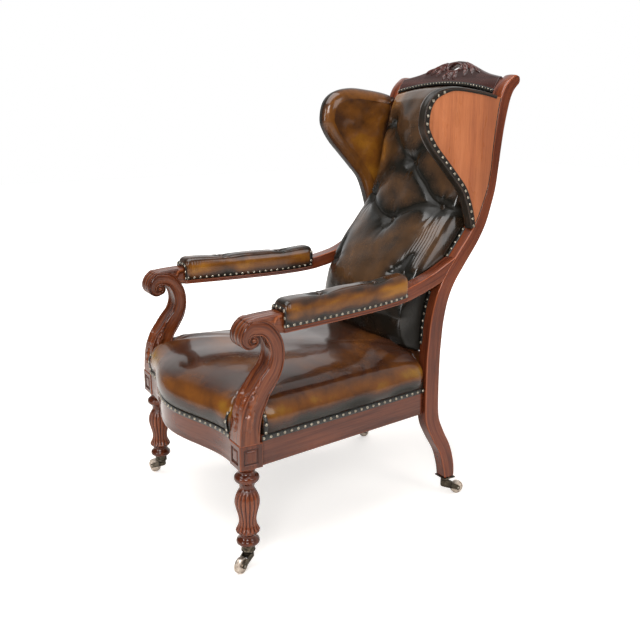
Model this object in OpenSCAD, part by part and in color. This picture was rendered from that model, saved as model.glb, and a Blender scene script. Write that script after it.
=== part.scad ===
// Wingback armchair with a show-wood frame: turned front legs, swept rear legs, scrolled arms,
// a carved crest rail and buttoned leather upholstery, standing on four swivel castors.
// Millimetres. +Z is up and the chair faces -Y. Left is the sitter's left, on +X.
// The origin is on the floor, under the middle of the chair.

/* [Rear stiles] */
// Height of the rear stile's scrolled top above the floor
stile_h = 1102; // [1040:2:1160]
// Width of the back over the outer faces of the stiles
back_w = 484; // [450:2:520]
// Thickness of a stile from side to side
stile_t = 38; // [34:1:42]
// Depth of a stile from front to back at the seat
stile_d = 42; // [38:1:46]
// How far the stile's scrolled top lies behind its knee
stile_reach = 262; // [240:2:290]
// Height of the rear leg's sawn end above the floor
foot_z = 58; // [54:1:62]

/* [Seat frame] */
// Distance between the front leg centres
leg_spread = 578; // [550:2:610]
// Distance from the front leg centres back to the stiles
frame_depth = 532; // [500:2:570]
// Height of the underside of the seat rails above the floor
rail_z = 254; // [244:1:266]
// Height of a seat rail
rail_h = 72; // [66:1:80]
// Thickness of a seat rail
rail_t = 28; // [24:1:32]
// How far the front rail bows forward at its middle
front_bow = 49; // [20:1:60]
// Half the width over which the front rail bows
bow_half = 250; // [220:5:258]
// How far the front rail's face lies behind the leg block's face
front_inset = 2; // [1:0.5:5]
// How far the side rail's face lies inside the leg block's face
side_inset = 6; // [3:0.5:9]
// How far the side rail's face lies inside the stile's outer face
rear_inset = 9.5; // [6:0.5:12]
// Thickness of the back seat rail
back_rail_t = 22; // [18:1:26]
// Length of a tenon
tenon_l = 24; // [18:1:26]

/* [Front legs] */
// Width of the square block at the top of the leg
block_w = 56; // [52:1:60]
// Height of the square block
block_h = 58; // [52:1:62]
// Greatest radius of the turning
turn_r = 29; // [26:0.5:30]
// Depth of the sunk panels in the block
panel_sink = 3; // [1:0.5:4]
// Border left round a sunk panel
panel_border = 9; // [6:1:12]

/* [Castors] */
// Radius of a front castor wheel
front_wheel_r = 19; // [17:0.5:21]
// Radius of a rear castor wheel
rear_wheel_r = 17.5; // [16:0.5:20]
// Width of a castor wheel
wheel_w = 15; // [12:0.5:17]
// Distance from a front castor's pivot to its axle
front_trail = 29.5; // [28:0.5:33]
// Distance from a rear castor's pivot to its axle
rear_trail = 37; // [33:0.5:39]
// Height of the top of the front castor cup
cup_top = 59; // [57:0.5:62]
// Radius of the front castor cup
cup_r = 15.6; // [15:0.2:18]
// Radius of a castor axle
axle_r = 2.5; // [2:0.25:3]
// Radius of a castor's swivel pin
stem_r = 4; // [3.5:0.25:4.5]

/* [Arms] */
// Width of the arm support and of the arm rail's front end
arm_w = 55; // [50:1:58]
// Radius of the arm's volute where its groove starts
volute_r = 19.5; // [17:0.5:22]
// Height of the volute's centre above the top of the leg block
volute_rise = 235; // [222:1:248]
// Distance from the leg centre back to the end of the arm support
shoulder_y = 88; // [82:1:94]
// Thickness of the arm rail
arm_t = 33; // [28:1:36]
// How much the arm rail rises to the stile
arm_rise = 78; // [70:1:88]
// Length of the arm pad
arm_pad_l = 368; // [340:1:385]
// Height of the arm pad above the underside of the arm rail
arm_pad_h = 72; // [64:1:80]
// Height of bare wood below the arm pad
arm_lip = 11; // [8:1:13]

/* [Crest and back] */
// Height of the middle of the crest above the stiles' tops
crest_rise = 39; // [30:1:46]
// Thickness of the crest rail
crest_t = 20; // [18:1:22]
// How far the crest's top lies behind the stiles' knees
crest_reach = 266; // [250:2:290]
// Height of the underside of the back's bottom rail above the seat rails
low_rail_rise = 110; // [100:1:125]
// Height of the back's bottom rail
low_rail_h = 40; // [34:1:46]
// Greatest depth of the back pad in front of the stiles
back_pad_d = 100; // [80:1:110]
// Depth of a buttoned hollow in the back pad
tuft_d = 24; // [14:1:30]
// Depth of a pleat between two buttons
pleat_d = 8; // [4:1:12]

/* [Wings] */
// Thickness of a wing's board
board_t = 12; // [10:1:14]
// Width of the leather band round a wing
band_w = 22; // [16:1:24]
// How far a wing stands forward of the stile's knee
wing_front = 31; // [20:1:45]

/* [Seat upholstery] */
// Height of the seat's crown above the seat rails
seat_h = 108; // [94:1:116]
// Height of the seat's side roll above the seat rails
seat_roll = 62; // [54:1:70]
// How far the leather swells past the rails
seat_bulge = 8; // [4:0.5:10]
// Height of a seat spring
spring_h = 88; // [82:1:92]
// Greatest radius of a seat spring
spring_r = 38; // [30:1:42]
// Radius of the spring wire
wire_r = 2; // [1.5:0.25:2.5]
// Turns in a seat spring
spring_turns = 4; // [3:1:5]

/* [Trim] */
// Thickness of the leather bands
band_t = 1.6; // [1.2:0.2:2.4]
// Radius of a nail head
nail_r = 3.8; // [3:0.2:4.4]
// Height of a nail head
nail_h = 2.2; // [1.6:0.2:3]
// Spacing of the nails
nail_pitch = 18; // [15:0.5:24]
// Radius of a button
button_r = 8; // [6:0.5:10]

/* [Hidden] */
$fn = 48;
cut = 1;           // overrun of a cut past a face
gap = 0.3;         // clearance round soft pieces and between castor parts
play = 0.05;       // radial clearance of a turning pin
fit = 0.02;        // radial clearance of a fixed pin in its hole
steps = 3;         // divisions of a curve between two of its stations

block_top = rail_z + block_h;
rail_top = rail_z + rail_h;
front_over = block_w / 2 - front_inset + front_bow + seat_bulge;
crest_over = crest_reach + crest_t / 2;
leg_y = (front_over - frame_depth - crest_over) / 2;
knee_y = leg_y + frame_depth;
leg_x = leg_spread / 2;
stile_out = back_w / 2;
stile_in = stile_out - stile_t;
block_in = leg_x - block_w / 2;
block_back = leg_y + block_w / 2;
back_rail_set = 8;                              // back seat rail behind the stile's front face
rebate_w = 14;                                  // rebate under the rails for the webbing
rebate_h = 6;
seat_back_y = knee_y + back_rail_set + back_rail_t;

// Curves

function lerp(a, b, t) = a + (b - a) * t;
function bend(a, b, c, d, t) =
    (2 * b + (c - a) * t + (2 * a - 5 * b + 4 * c - d) * t * t + (3 * b - a - 3 * c + d) * t * t * t) / 2;
// Smooth run through the stations p, with n divisions between two of them
function smooth(p, n = steps) = [
    for (i = [0 : len(p) - 2], k = [0 : n - 1])
        bend(p[max(i - 1, 0)], p[i], p[i + 1], p[min(i + 2, len(p) - 1)], k / n),
    p[len(p) - 1]
];
function reversed(p) = [for (i = [len(p) - 1 : -1 : 0]) p[i]];
function heading(p, i) =
    let (a = p[max(i - 1, 0)], b = p[min(i + 1, len(p) - 1)], d = [b[0] - a[0], b[1] - a[1]]) d / norm(d);
// One edge of a run, w to the left of its travel
function beside(p, i, w) = let (d = heading(p, i)) [p[i][0] - d[1] * w, p[i][1] + d[0] * w];
function edge(p, w) = [for (i = [0 : len(p) - 1]) beside(p, i, w)];
// Edge of a run whose third value is its full width, side is 1 for the left and -1 for the right
function bank(p, side) = [for (i = [0 : len(p) - 1]) beside(p, i, side * p[i][2] / 2)];
function ribbon(p) = concat(bank(p, 1), reversed(bank(p, -1)));
function table_of(p) = [for (q = p) [q[1], q[0]]];

// Extrudes an outline drawn in Y and Z from x0 to x1
module side_slab(outline, x0, x1) {
    translate([x0, 0, 0]) rotate([90, 0, 90]) linear_extrude(x1 - x0) polygon(outline);
}
// Extrudes an outline drawn in X and Z from y0 to y1
module front_slab(outline, y0, y1) {
    translate([0, y1, 0]) rotate([90, 0, 0]) linear_extrude(y1 - y0) polygon(outline);
}
// Extrudes a plan outline from z0 to z1
module plan_slab(outline, z0, z1) {
    translate([0, 0, z0]) linear_extrude(z1 - z0) polygon(outline);
}
// side is 1 for the sitter's left and -1 for the right
module on_side(side) {
    if (side > 0) children();
    else mirror([1, 0, 0]) children();
}
module both_sides() {
    on_side(1) children();
    on_side(-1) children();
}
// Closed skin over rings of equal length. A first or last ring of one point closes an end.
module skin(rings) {
    n = max([for (r = rings) len(r)]);
    start = [for (i = 0, s = 0; i < len(rings); s = s + len(rings[i]), i = i + 1) s];
    faces = [
        for (i = [0 : len(rings) - 2], j = [0 : n - 1])
            let (
                k = (j + 1) % n,
                a = start[i] + (len(rings[i]) > 1 ? j : 0),
                b = start[i] + (len(rings[i]) > 1 ? k : 0),
                c = start[i + 1] + (len(rings[i + 1]) > 1 ? k : 0),
                d = start[i + 1] + (len(rings[i + 1]) > 1 ? j : 0)
            )
            each concat(a == b ? [] : [[a, c, b]], c == d ? [] : [[a, d, c]])
    ];
    polyhedron([for (r = rings) each r], faces);
}

// Rear stiles. Each station is a share of stile_reach, of stile_h and of stile_d.

stile_share = [
    [0.338, 0.044, 0.70], [0.322, 0.085, 0.82], [0.268, 0.129, 0.87], [0.170, 0.172, 0.94],
    [0.098, 0.212, 1.00], [0.081, 0.263, 0.98], [0.081, 0.358, 0.98], [0.094, 0.408, 0.96],
    [0.112, 0.454, 0.97], [0.160, 0.504, 0.93], [0.238, 0.546, 0.89], [0.358, 0.588, 0.88],
    [0.506, 0.635, 0.83], [0.600, 0.673, 0.77], [0.658, 0.710, 0.70], [0.709, 0.749, 0.62],
    [0.736, 0.790, 0.58], [0.753, 0.835, 0.62], [0.780, 0.889, 0.67], [0.814, 0.935, 0.74],
    [0.845, 0.959, 0.74], [0.888, 0.975, 0.68], [0.944, 0.987, 0.62]
];
stile_run = smooth([for (s = stile_share) [knee_y + s[0] * stile_reach, s[1] * stile_h, s[2] * stile_d]]);
stile_end = stile_run[len(stile_run) - 1];
front_table = table_of(bank(stile_run, 1));
back_table = table_of(bank(stile_run, -1));
mid_table = table_of(stile_run);
function stile_front(z) = lookup(z, front_table);
function stile_back(z) = lookup(z, back_table);
function stile_mid(z) = lookup(z, mid_table);
foot_y = stile_mid(foot_z);
foot_x = (stile_in + stile_out) / 2;

module stile_body(side) {
    on_side(side) difference() {
        union() {
            side_slab(ribbon(stile_run), stile_in, stile_out);
            translate([stile_in, stile_end[0], stile_end[1]]) rotate([0, 90, 0])
                cylinder(h = stile_t, r = stile_end[2] / 2);
        }
        translate([stile_in - cut, knee_y, 0]) cube([stile_t + 2 * cut, stile_reach, foot_z]);
    }
}

module rear_stile(side) {
    color("sienna") difference() {
        stile_body(side);
        on_side(side) {
            side_rail_tenons();
            back_rail_tenons();
            low_rail_tenons();
            crest_dowels(fit);
            arm_dowel(fit);
            rear_screws(fit);
        }
    }
}
module rear_stile_left() { rear_stile(1); }
module rear_stile_right() { rear_stile(-1); }

// Seat rails

side_x0 = leg_x + block_w / 2 - side_inset;
side_x1 = stile_out - rear_inset;
function side_x(y) = lerp(side_x0, side_x1, (y - block_back) / (knee_y - block_back));
front_face = leg_y - block_w / 2 + front_inset;
function front_y(x) = front_face - (abs(x) < bow_half ? front_bow * (1 + cos(180 * x / bow_half)) / 2 : 0);
bow_steps = 18;
rail_x = [for (i = [-bow_steps : bow_steps]) block_in * i / bow_steps];
// Strip along the front rail from depth a to depth b behind its face
function front_strip(a, b) = concat([for (x = rail_x) [x, front_y(x) + a]],
    [for (x = reversed(rail_x)) [x, front_y(x) + b]]);
// Strip along a side rail from depth a to depth b inside its face
function side_strip(a, b, y0, y1) = [
    [side_x(y0) - a, y0], [side_x(y1) - a, y1], [side_x(y1) - b, y1], [side_x(y0) - b, y0]
];
side_tenon_z = rail_z + rail_h * 0.2;
side_tenon_h = rail_h * 0.34;
back_tenon_z = rail_z + rail_h * 0.62;
back_tenon_h = rail_h * 0.28;
front_tenon_z = rail_z + rail_h * 0.2;
front_tenon_h = rail_h * 0.45;

module side_rail_tenons() {
    plan_slab(side_strip(rail_t / 3, rail_t * 2 / 3, block_back - tenon_l, knee_y + tenon_l),
        side_tenon_z, side_tenon_z + side_tenon_h);
}
module back_rail_tenons() {
    translate([-stile_in - tenon_l, knee_y + back_rail_set + back_rail_t / 3, back_tenon_z])
        cube([2 * (stile_in + tenon_l), back_rail_t / 3, back_tenon_h]);
}
module front_rail_tenons() {
    translate([-block_in - tenon_l, front_face + rail_t / 3, front_tenon_z])
        cube([2 * (block_in + tenon_l), rail_t / 3, front_tenon_h]);
}

module seat_rail_front() {
    color("saddlebrown") difference() {
        union() {
            plan_slab(front_strip(0, rail_t), rail_z, rail_top);
            intersection() {
                front_rail_tenons();
                both_sides() translate([block_in - cut, leg_y - block_w, rail_z])
                    cube([block_w, 2 * block_w, rail_h]);
            }
        }
        plan_slab(front_strip(rail_t - rebate_w, rail_t + cut), rail_z - cut, rail_z + rebate_h);
    }
}

module side_rail(side) {
    color("saddlebrown") on_side(side) difference() {
        union() {
            plan_slab(side_strip(0, rail_t, block_back, knee_y), rail_z, rail_top);
            side_rail_tenons();
        }
        plan_slab(side_strip(rail_t - rebate_w, rail_t + cut, block_back - cut, knee_y + cut),
            rail_z - cut, rail_z + rebate_h);
    }
}
module seat_rail_left() { side_rail(1); }
module seat_rail_right() { side_rail(-1); }

module seat_rail_back() {
    color("saddlebrown") difference() {
        union() {
            translate([-stile_in, knee_y + back_rail_set, rail_z]) cube([2 * stile_in, back_rail_t, rail_h]);
            back_rail_tenons();
        }
        translate([-stile_in - cut, knee_y + back_rail_set - cut, rail_z - cut])
            cube([2 * (stile_in + cut), rebate_w + cut, rebate_h + cut]);
    }
}

// Braces in the corners of the seat frame

brace_l = 56;
brace_top = rail_top - rail_h * 0.14;
brace_low = rail_z + rebate_h + 2 * gap;
module corner_blocks() {
    rail_in = front_face + rail_t;
    brace_y = block_back + brace_l;
    rear_y = knee_y + back_rail_set;
    color("peru") both_sides() {
        plan_slab([
            [block_in, rail_in], [block_in - brace_l, rail_in], [side_x(brace_y) - rail_t, brace_y],
            [side_x(block_back) - rail_t, block_back], [block_in, block_back]
        ], brace_low, brace_top);
        plan_slab([
            [stile_in - brace_l, rear_y], [side_x(knee_y - brace_l) - rail_t, knee_y - brace_l],
            [side_x(knee_y) - rail_t, knee_y], [stile_in, knee_y], [stile_in, rear_y]
        ], brace_low, brace_top);
    }
}

// Front legs. The turning's outline is in shares of turn_r and of the height from cup_top to the rails.

turn_share = [
    [0.55, 0.00], [0.66, 0.01], [0.89, 0.03], [0.92, 0.065], [0.84, 0.105], [0.72, 0.125],
    [0.74, 0.14], [0.90, 0.165], [0.945, 0.19], [0.86, 0.23], [0.72, 0.29], [0.71, 0.34],
    [0.80, 0.42], [0.93, 0.51], [0.985, 0.59], [0.95, 0.66], [0.78, 0.725], [0.60, 0.735],
    [0.60, 0.77], [0.68, 0.80], [0.96, 0.825], [1.00, 0.865], [0.92, 0.90], [0.70, 0.92],
    [0.66, 0.95], [0.76, 0.985], [0.80, 1.00]
];
turn_h = rail_z - cup_top;
turn_run = smooth([for (s = turn_share) [s[0] * turn_r, cup_top + s[1] * turn_h]], 2);
spigot_r = cup_r - 3;
spigot_h = 8;

module turning() {
    rotate_extrude() polygon(concat([[0, cup_top]], turn_run, [[0, rail_z]]));
}

module front_leg(side) {
    panel = block_w - 2 * panel_border;
    color("saddlebrown") on_side(side) difference() {
        union() {
            translate([block_in, leg_y - block_w / 2, rail_z]) cube([block_w, block_w, block_h]);
            translate([leg_x, leg_y, 0]) turning();
            translate([leg_x, leg_y, cup_top - spigot_h]) cylinder(h = spigot_h + cut, r = spigot_r);
        }
        front_rail_tenons();
        side_rail_tenons();
        scroll_dowel(fit);
        translate([leg_x - panel / 2, leg_y - block_w / 2 - cut, rail_z + panel_border])
            cube([panel, panel_sink + cut, block_h - 2 * panel_border]);
        translate([leg_x + block_w / 2 - panel_sink, leg_y - panel / 2, rail_z + panel_border])
            cube([panel_sink + cut, panel, block_h - 2 * panel_border]);
    }
}
module front_leg_left() { front_leg(1); }
module front_leg_right() { front_leg(-1); }

// Arm supports. The neck's stations are shares of shoulder_y, volute_rise and arm_w.

neck_share = [
    [-0.02, -0.05, 0.89], [-0.02, 0.05, 0.89], [0.01, 0.16, 0.88], [0.07, 0.27, 0.88],
    [0.16, 0.36, 0.88], [0.27, 0.42, 0.87], [0.40, 0.49, 0.81], [0.60, 0.58, 0.78],
    [0.84, 0.70, 0.69], [0.95, 0.82, 0.62], [0.90, 0.95, 0.61], [0.70, 1.06, 0.59],
    [0.49, 1.11, 0.62], [0.27, 1.12, 0.64], [0.03, 1.09, 0.56], [-0.10, 1.02, 0.42], [-0.02, 0.96, 0.33]
];
volute_y = leg_y + shoulder_y * 0.14;
volute_z = block_top + volute_rise;
neck_run = smooth([
    for (s = neck_share) [leg_y + s[0] * shoulder_y, block_top + s[1] * volute_rise, s[2] * arm_w]
]);
shoulder_end = leg_y + shoulder_y;
// Cheek between the neck's top and the arm rail, in shares of shoulder_y and of volute_rise
cheek_share = [
    [0.20, 1.185], [0.34, 1.20], [0.66, 1.21], [1.0, 1.215], [1.0, 1.02], [0.82, 1.02], [0.57, 1.08], [0.26, 1.12]
];
cheek = [for (s = cheek_share) [leg_y + s[0] * shoulder_y, block_top + s[1] * volute_rise]];
arm_z0 = block_top + volute_rise * 1.096;           // middle of the arm rail at its front end
groove_w = 3;
groove_d = 2.5;
volute_turns = 1.5;
volute_steps = 30;
// Point of the volute's groove at share t of its way in, w to one side
function volute_point(t, w) =
    let (a = 20 + 360 * volute_turns * t, r = lerp(volute_r, volute_r * 0.22, t) + w)
    [volute_y + r * cos(a), volute_z + r * sin(a)];
volute_groove = concat([for (i = [0 : volute_steps]) volute_point(i / volute_steps, groove_w / 2)],
    [for (i = [volute_steps : -1 : 0]) volute_point(i / volute_steps, -groove_w / 2)]);

module arm_scroll(side) {
    x0 = leg_x - arm_w / 2;
    x1 = leg_x + arm_w / 2;
    color("saddlebrown") on_side(side) difference() {
        union() {
            side_slab(ribbon(neck_run), x0, x1);
            translate([x0, volute_y, volute_z]) rotate([0, 90, 0]) cylinder(h = arm_w, r = volute_r);
            side_slab(cheek, x0, x1);
        }
        translate([x0 - cut, leg_y - block_w, block_top - block_h])
            cube([arm_w + 2 * cut, 2 * block_w, block_h]);
        translate([x0 - cut, shoulder_end, arm_low(shoulder_end) - gap])
            cube([arm_w + 2 * cut, arm_t, arm_t]);
        side_slab(volute_groove, x1 - groove_d, x1 + cut);
        side_slab(volute_groove, x0 - cut, x0 + groove_d);
        scroll_dowel(fit);
        arm_front_dowel(fit);
    }
}
module arm_scroll_left() { arm_scroll(1); }
module arm_scroll_right() { arm_scroll(-1); }

// Arm rails. The run's stations are shares of the way to the stile and of arm_rise.

arm_share = [
    [0.000, 0.00], [0.288, 0.02], [0.505, 0.06], [0.660, 0.14], [0.755, 0.27],
    [0.830, 0.42], [0.888, 0.59], [0.944, 0.80], [1.000, 1.00]
];
arm_end_z = arm_z0 + arm_rise;
arm_end_y = stile_mid(arm_end_z);
arm_run = smooth([
    for (s = arm_share) [lerp(shoulder_end, arm_end_y, s[0]), arm_z0 + s[1] * arm_rise, arm_t]
]);
arm_table = [for (q = arm_run) [q[0], q[1]]];
arm_low_table = [for (q = bank(arm_run, -1)) [q[0], q[1]]];
function arm_low(y) = lookup(y, arm_low_table);
// The arm narrows from the support until it is as wide as the stile, behind its pad
arm_taper_share = 1.21;
arm_turn_y = shoulder_end + arm_pad_l * arm_taper_share;
function arm_way(y) = min(max((y - shoulder_end) / (arm_turn_y - shoulder_end), 0), 1);
function arm_mid(y) = lerp(leg_x, (stile_in + stile_out) / 2, arm_way(y));
function arm_half(y) = lerp(arm_w, stile_t, arm_way(y)) / 2;
// Plan strip between two distances from the arm's middle line, each past the arm's half width
function arm_strip(a, b, y0, y1) = [
    [arm_mid(y0) + arm_half(y0) + a, y0], [arm_mid(y1) + arm_half(y1) + a, y1],
    [arm_mid(y1) + arm_half(y1) + b, y1], [arm_mid(y0) + arm_half(y0) + b, y0]
];
function arm_inner_strip(a, b, y0, y1) = [
    [arm_mid(y0) - arm_half(y0) - a, y0], [arm_mid(y1) - arm_half(y1) - a, y1],
    [arm_mid(y1) - arm_half(y1) - b, y1], [arm_mid(y0) - arm_half(y0) - b, y0]
];
pad_y0 = shoulder_end + gap;
pad_y1 = shoulder_end + arm_pad_l;
arm_rebate = 3;                                     // rail drawn in under the pad's leather
arm_x_max = leg_x + arm_w;
pad_steps = 20;
pad_ys = [for (i = [0 : pad_steps]) lerp(pad_y0, pad_y1, i / pad_steps)];
// Side outline over the pad's length between two heights above the rail's underside
function pad_layer(a, b) = concat([for (y = pad_ys) [y, arm_low(y) + a]],
    [for (y = reversed(pad_ys)) [y, arm_low(y) + b]]);

module arm_rail(side) {
    past = arm_end_y + stile_d;
    color("saddlebrown") difference() {
        on_side(side) intersection() {
            side_slab(ribbon(arm_run), stile_in, arm_x_max);
            plan_slab([
                [leg_x + arm_w / 2, shoulder_end], [stile_out, arm_turn_y], [stile_out, past],
                [stile_in, past], [stile_in, arm_turn_y], [leg_x - arm_w / 2, shoulder_end]
            ], block_top, stile_h);
        }
        on_side(side) {
            intersection() {
                side_slab(pad_layer(arm_lip, 2 * arm_t), stile_in - cut, arm_x_max);
                union() {
                    plan_slab(arm_strip(-arm_rebate, arm_w, pad_y0, pad_y1), block_top, stile_h);
                    plan_slab(arm_inner_strip(-arm_rebate, arm_w, pad_y0, pad_y1), block_top, stile_h);
                }
            }
            arm_front_dowel(fit);
            arm_dowel(fit);
        }
        stile_body(side);
    }
}
module arm_rail_left() { arm_rail(1); }
module arm_rail_right() { arm_rail(-1); }

// Crest rail. The side run's stations are shares of crest_reach and of the crest's height.

crest_z = stile_h + crest_rise;
crest_share = [
    [0.78, 0.914], [0.805, 0.929], [0.835, 0.944], [0.884, 0.960],
    [0.940, 0.977], [0.985, 0.995], [1.00, 1.006]
];
crest_run = smooth([for (s = crest_share) [knee_y + s[0] * crest_reach, s[1] * crest_z, crest_t]]);
crest_low_end = crest_z * 0.927;
crest_low_mid = crest_z * 0.9455;
function crest_low(x) = lerp(crest_low_mid, crest_low_end, pow(abs(x) / stile_in, 2));
crest_top_share = [
    [0, 1.000], [0.16, 0.997], [0.31, 0.990], [0.50, 0.9795], [0.74, 0.968], [1.00, 0.9605]
];
crest_half = smooth([for (s = crest_top_share) [s[0] * stile_in, s[1] * crest_z]]);
eye_w = 40;                                         // pierced oval in the crest
eye_h = 17;
eye_z = crest_z * 0.981;
crest_steps = 16;
crest_outline = concat(
    [for (i = [-crest_steps : crest_steps]) let (x = stile_in * i / crest_steps) [x, crest_low(x)]],
    reversed(crest_half), [for (i = [1 : len(crest_half) - 1]) [-crest_half[i][0], crest_half[i][1]]]);

module crest_rail() {
    color("saddlebrown") difference() {
        intersection() {
            side_slab(ribbon(crest_run), -stile_in, stile_in);
            front_slab(crest_outline, knee_y, knee_y + crest_over + crest_t);
        }
        front_slab([for (a = [0 : 15 : 345]) [eye_w / 2 * cos(a), eye_z + eye_h / 2 * sin(a)]],
            knee_y, knee_y + crest_over + crest_t);
        both_sides() crest_dowels(fit);
    }
}

// Bottom rail of the back, between the stiles

low_z = rail_top + low_rail_rise;
pad_set = 9;                                        // back pad's rear face behind the stiles' fronts
pad_free = 1.5;                                     // webbing and bottom rail behind the pad
panel_set = 5;                                      // outside panel inside the stiles' backs
panel_t = 2.5;
web_t = 2;
// Outline in Y and Z between two offsets from the stile's edges, n divisions high
function track(z0, z1, a, b, n) = concat(
    [for (i = [0 : n]) let (z = lerp(z0, z1, i / n)) [stile_front(z) + a, z]],
    [for (i = [n : -1 : 0]) let (z = lerp(z0, z1, i / n)) [stile_front(z) + b, z]]);
low_tenon_z = low_z + low_rail_h / 4;

module low_rail_tenons() {
    y = stile_front(low_z) + pad_set + back_rail_t / 3;
    translate([-stile_in - tenon_l, y, low_tenon_z])
        cube([2 * (stile_in + tenon_l), back_rail_t / 3, low_rail_h / 2]);
}
module back_low_rail() {
    color("peru") {
        side_slab(track(low_z, low_z + low_rail_h, pad_set + pad_free, pad_set + back_rail_t, 4),
            -stile_in, stile_in);
        low_rail_tenons();
    }
}

// Dowels that pin the frame together

dowel_r = 5;
dowel_l = 44;
module scroll_dowel(grow) {
    translate([leg_x, leg_y, block_top - dowel_l / 2])
        cylinder(h = dowel_l, r = dowel_r + grow);
}
module arm_front_dowel(grow) {
    translate([leg_x, shoulder_end - dowel_l / 2, arm_z0]) rotate([-90, 0, 0])
        cylinder(h = dowel_l, r = dowel_r + grow);
}
arm_dowel_z = arm_z0 + arm_rise * 0.70;
module arm_dowel(grow) {
    translate([foot_x, stile_front(arm_dowel_z) - dowel_l * 0.4, arm_dowel_z]) rotate([-90, 0, 0])
        cylinder(h = dowel_l * 0.9, r = dowel_r + grow);
}
crest_table = table_of(crest_run);
crest_dowel_share = [0.30, 0.58];                   // between the crest's low end and the stile's top
crest_dowel_r = dowel_r * 0.6;
module crest_dowels(grow) {
    for (s = crest_dowel_share)
        let (z = lerp(crest_low_end, stile_h, s), y = (stile_mid(z) + lookup(z, crest_table)) / 2)
        translate([stile_in - dowel_l / 2, y, z]) rotate([0, 90, 0])
            cylinder(h = dowel_l, r = crest_dowel_r + grow);
}
module frame_dowels() {
    color("burlywood") both_sides() {
        scroll_dowel(0);
        arm_front_dowel(0);
        arm_dowel(0);
        crest_dowels(0);
    }
}

// Wings. The outline's stations are shares of the way from the wing's foremost line back to the stile,
// and of the stile's height above the arm's end.

wing_share = [
    [0.967, 0.179], [0.822, 0.252], [0.717, 0.320], [0.606, 0.388], [0.444, 0.463], [0.282, 0.541],
    [0.124, 0.621], [0.023, 0.699], [0.000, 0.752], [0.026, 0.828], [0.094, 0.879], [0.206, 0.910],
    [0.379, 0.922], [0.593, 0.913], [0.814, 0.896], [0.934, 0.881]
];
function wing_z(s) = lerp(arm_end_z, stile_h, s);
function wing_point(s) = let (z = wing_z(s[1])) [lerp(knee_y - wing_front, stile_front(z), s[0]), z];
wing_run = smooth([for (s = wing_share) wing_point(s)], 2);
wing_low_z = wing_z(wing_share[0][1]);
wing_high_z = wing_z(wing_share[len(wing_share) - 1][1]);
wing_back_steps = 14;
// The wing's rear edge follows the stile, set forward of its front edge by a
function wing_back(a) = [
    for (i = [0 : wing_back_steps])
        let (z = lerp(wing_high_z, wing_low_z + gap, i / wing_back_steps)) [stile_front(z) - a, z]
];
board_in = stile_out - board_t;
wing_mid = wing_point([0.56, 0.636]);

module wing_board(side) {
    color("chocolate") difference() {
        on_side(side) side_slab(concat(wing_run, wing_back(-stile_d / 5)), board_in, stile_out);
        stile_body(side);
    }
}
module wing_board_left() { wing_board(1); }
module wing_board_right() { wing_board(-1); }

// Rings of the wing's pad: distance drawn in from the rim, and the way from the board to the inner face
wing_pad_share = [[0, 0], [-0.12, 0.30], [0.05, 0.62], [0.35, 0.84], [0.85, 0.96], [1.60, 1.00]];
wing_rim = [for (q = wing_run) concat(q, [1])];
wing_seam = [for (q = wing_back(4 * gap)) concat(q, [0])];
wing_loop = concat(wing_rim, wing_seam);
wing_pad_t = board_in - stile_in - 2 * gap;
module wing_pad(side) {
    color("saddlebrown") on_side(side) skin(concat(
        [[[board_in - gap, wing_mid[0], wing_mid[1]]]],
        [for (r = wing_pad_share) [
            for (q = wing_loop)
                let (d = wing_mid - [q[0], q[1]], in = wing_pad_t * r[0] * (r[0] < 0 ? q[2] : 1))
                concat([board_in - gap - wing_pad_t * r[1]], [q[0], q[1]] + d / norm(d) * in)
        ]],
        [[[board_in - gap - wing_pad_t, wing_mid[0], wing_mid[1]]]]
    ));
}
module wing_pad_left() { wing_pad(1); }
module wing_pad_right() { wing_pad(-1); }

wing_band_start = 2;
wing_band_run = [for (i = [wing_band_start : len(wing_run) - 1]) wing_run[i]];
module wing_bands() {
    color("darkslategray") both_sides()
        side_slab(concat(wing_band_run, reversed(edge(wing_band_run, -band_w))),
            stile_out, stile_out + band_t);
}

// Seat support: webbing, springs, canvas and stuffing

web_w = 50;
cross_count = 5;
long_count = 4;
web_z = rail_z + rebate_h;
module seat_webbing() {
    first = block_back + web_w / 2;
    last = knee_y - web_w;
    color("tan") {
        for (i = [0 : cross_count - 1])
            let (
                y = lerp(first, last, i / (cross_count - 1)),
                x = side_x(y + web_w / 2) - rail_t + rebate_w / 2
            )
            translate([-x, y - web_w / 2, web_z - 2 * web_t]) cube([2 * x, web_w, web_t]);
        for (i = [0 : long_count - 1])
            let (
                x = lerp(-stile_in + web_w * 1.1, stile_in - web_w * 1.1, i / (long_count - 1)),
                a = x - web_w / 2, b = x + web_w / 2,
                y0 = rail_t - rebate_w * 0.6, y1 = knee_y + back_rail_set + rebate_w / 2
            )
            plan_slab([[a, front_y(a) + y0], [b, front_y(b) + y0], [b, y1], [a, y1]], web_z - web_t, web_z);
    }
}

cloth_t = 1.2;
module bottom_cloth() {
    y0 = block_back + gap;
    y1 = knee_y + back_rail_set + rebate_w - 2 * gap;
    in = rail_t - rebate_w + 2 * gap;
    color("black") plan_slab(concat(
        [for (x = rail_x) if (abs(x) < block_in - 2 * gap) [x, front_y(x) + in]],
        [
            [block_in - gap, front_face + in], [block_in - gap, y0], [side_x(y0) - in, y0],
            [side_x(knee_y) - in, knee_y - gap], [stile_in - gap, knee_y - gap], [stile_in - gap, y1],
            [-stile_in + gap, y1], [-stile_in + gap, knee_y - gap], [-side_x(knee_y) + in, knee_y - gap],
            [-side_x(y0) + in, y0], [-block_in + gap, y0], [-block_in + gap, front_face + in]
        ]), web_z - 2 * web_t - gap - cloth_t, web_z - 2 * web_t - gap);
}

spring_sides = 4;
spring_steps = 8;
spring_rows = 3;
spring_set = 6;                                     // springs behind the seat's middle
spring_mid_y = (front_face + seat_back_y) / 2 + spring_set;
spring_gap_y = 130;
spring_gap_x = 126;
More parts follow.
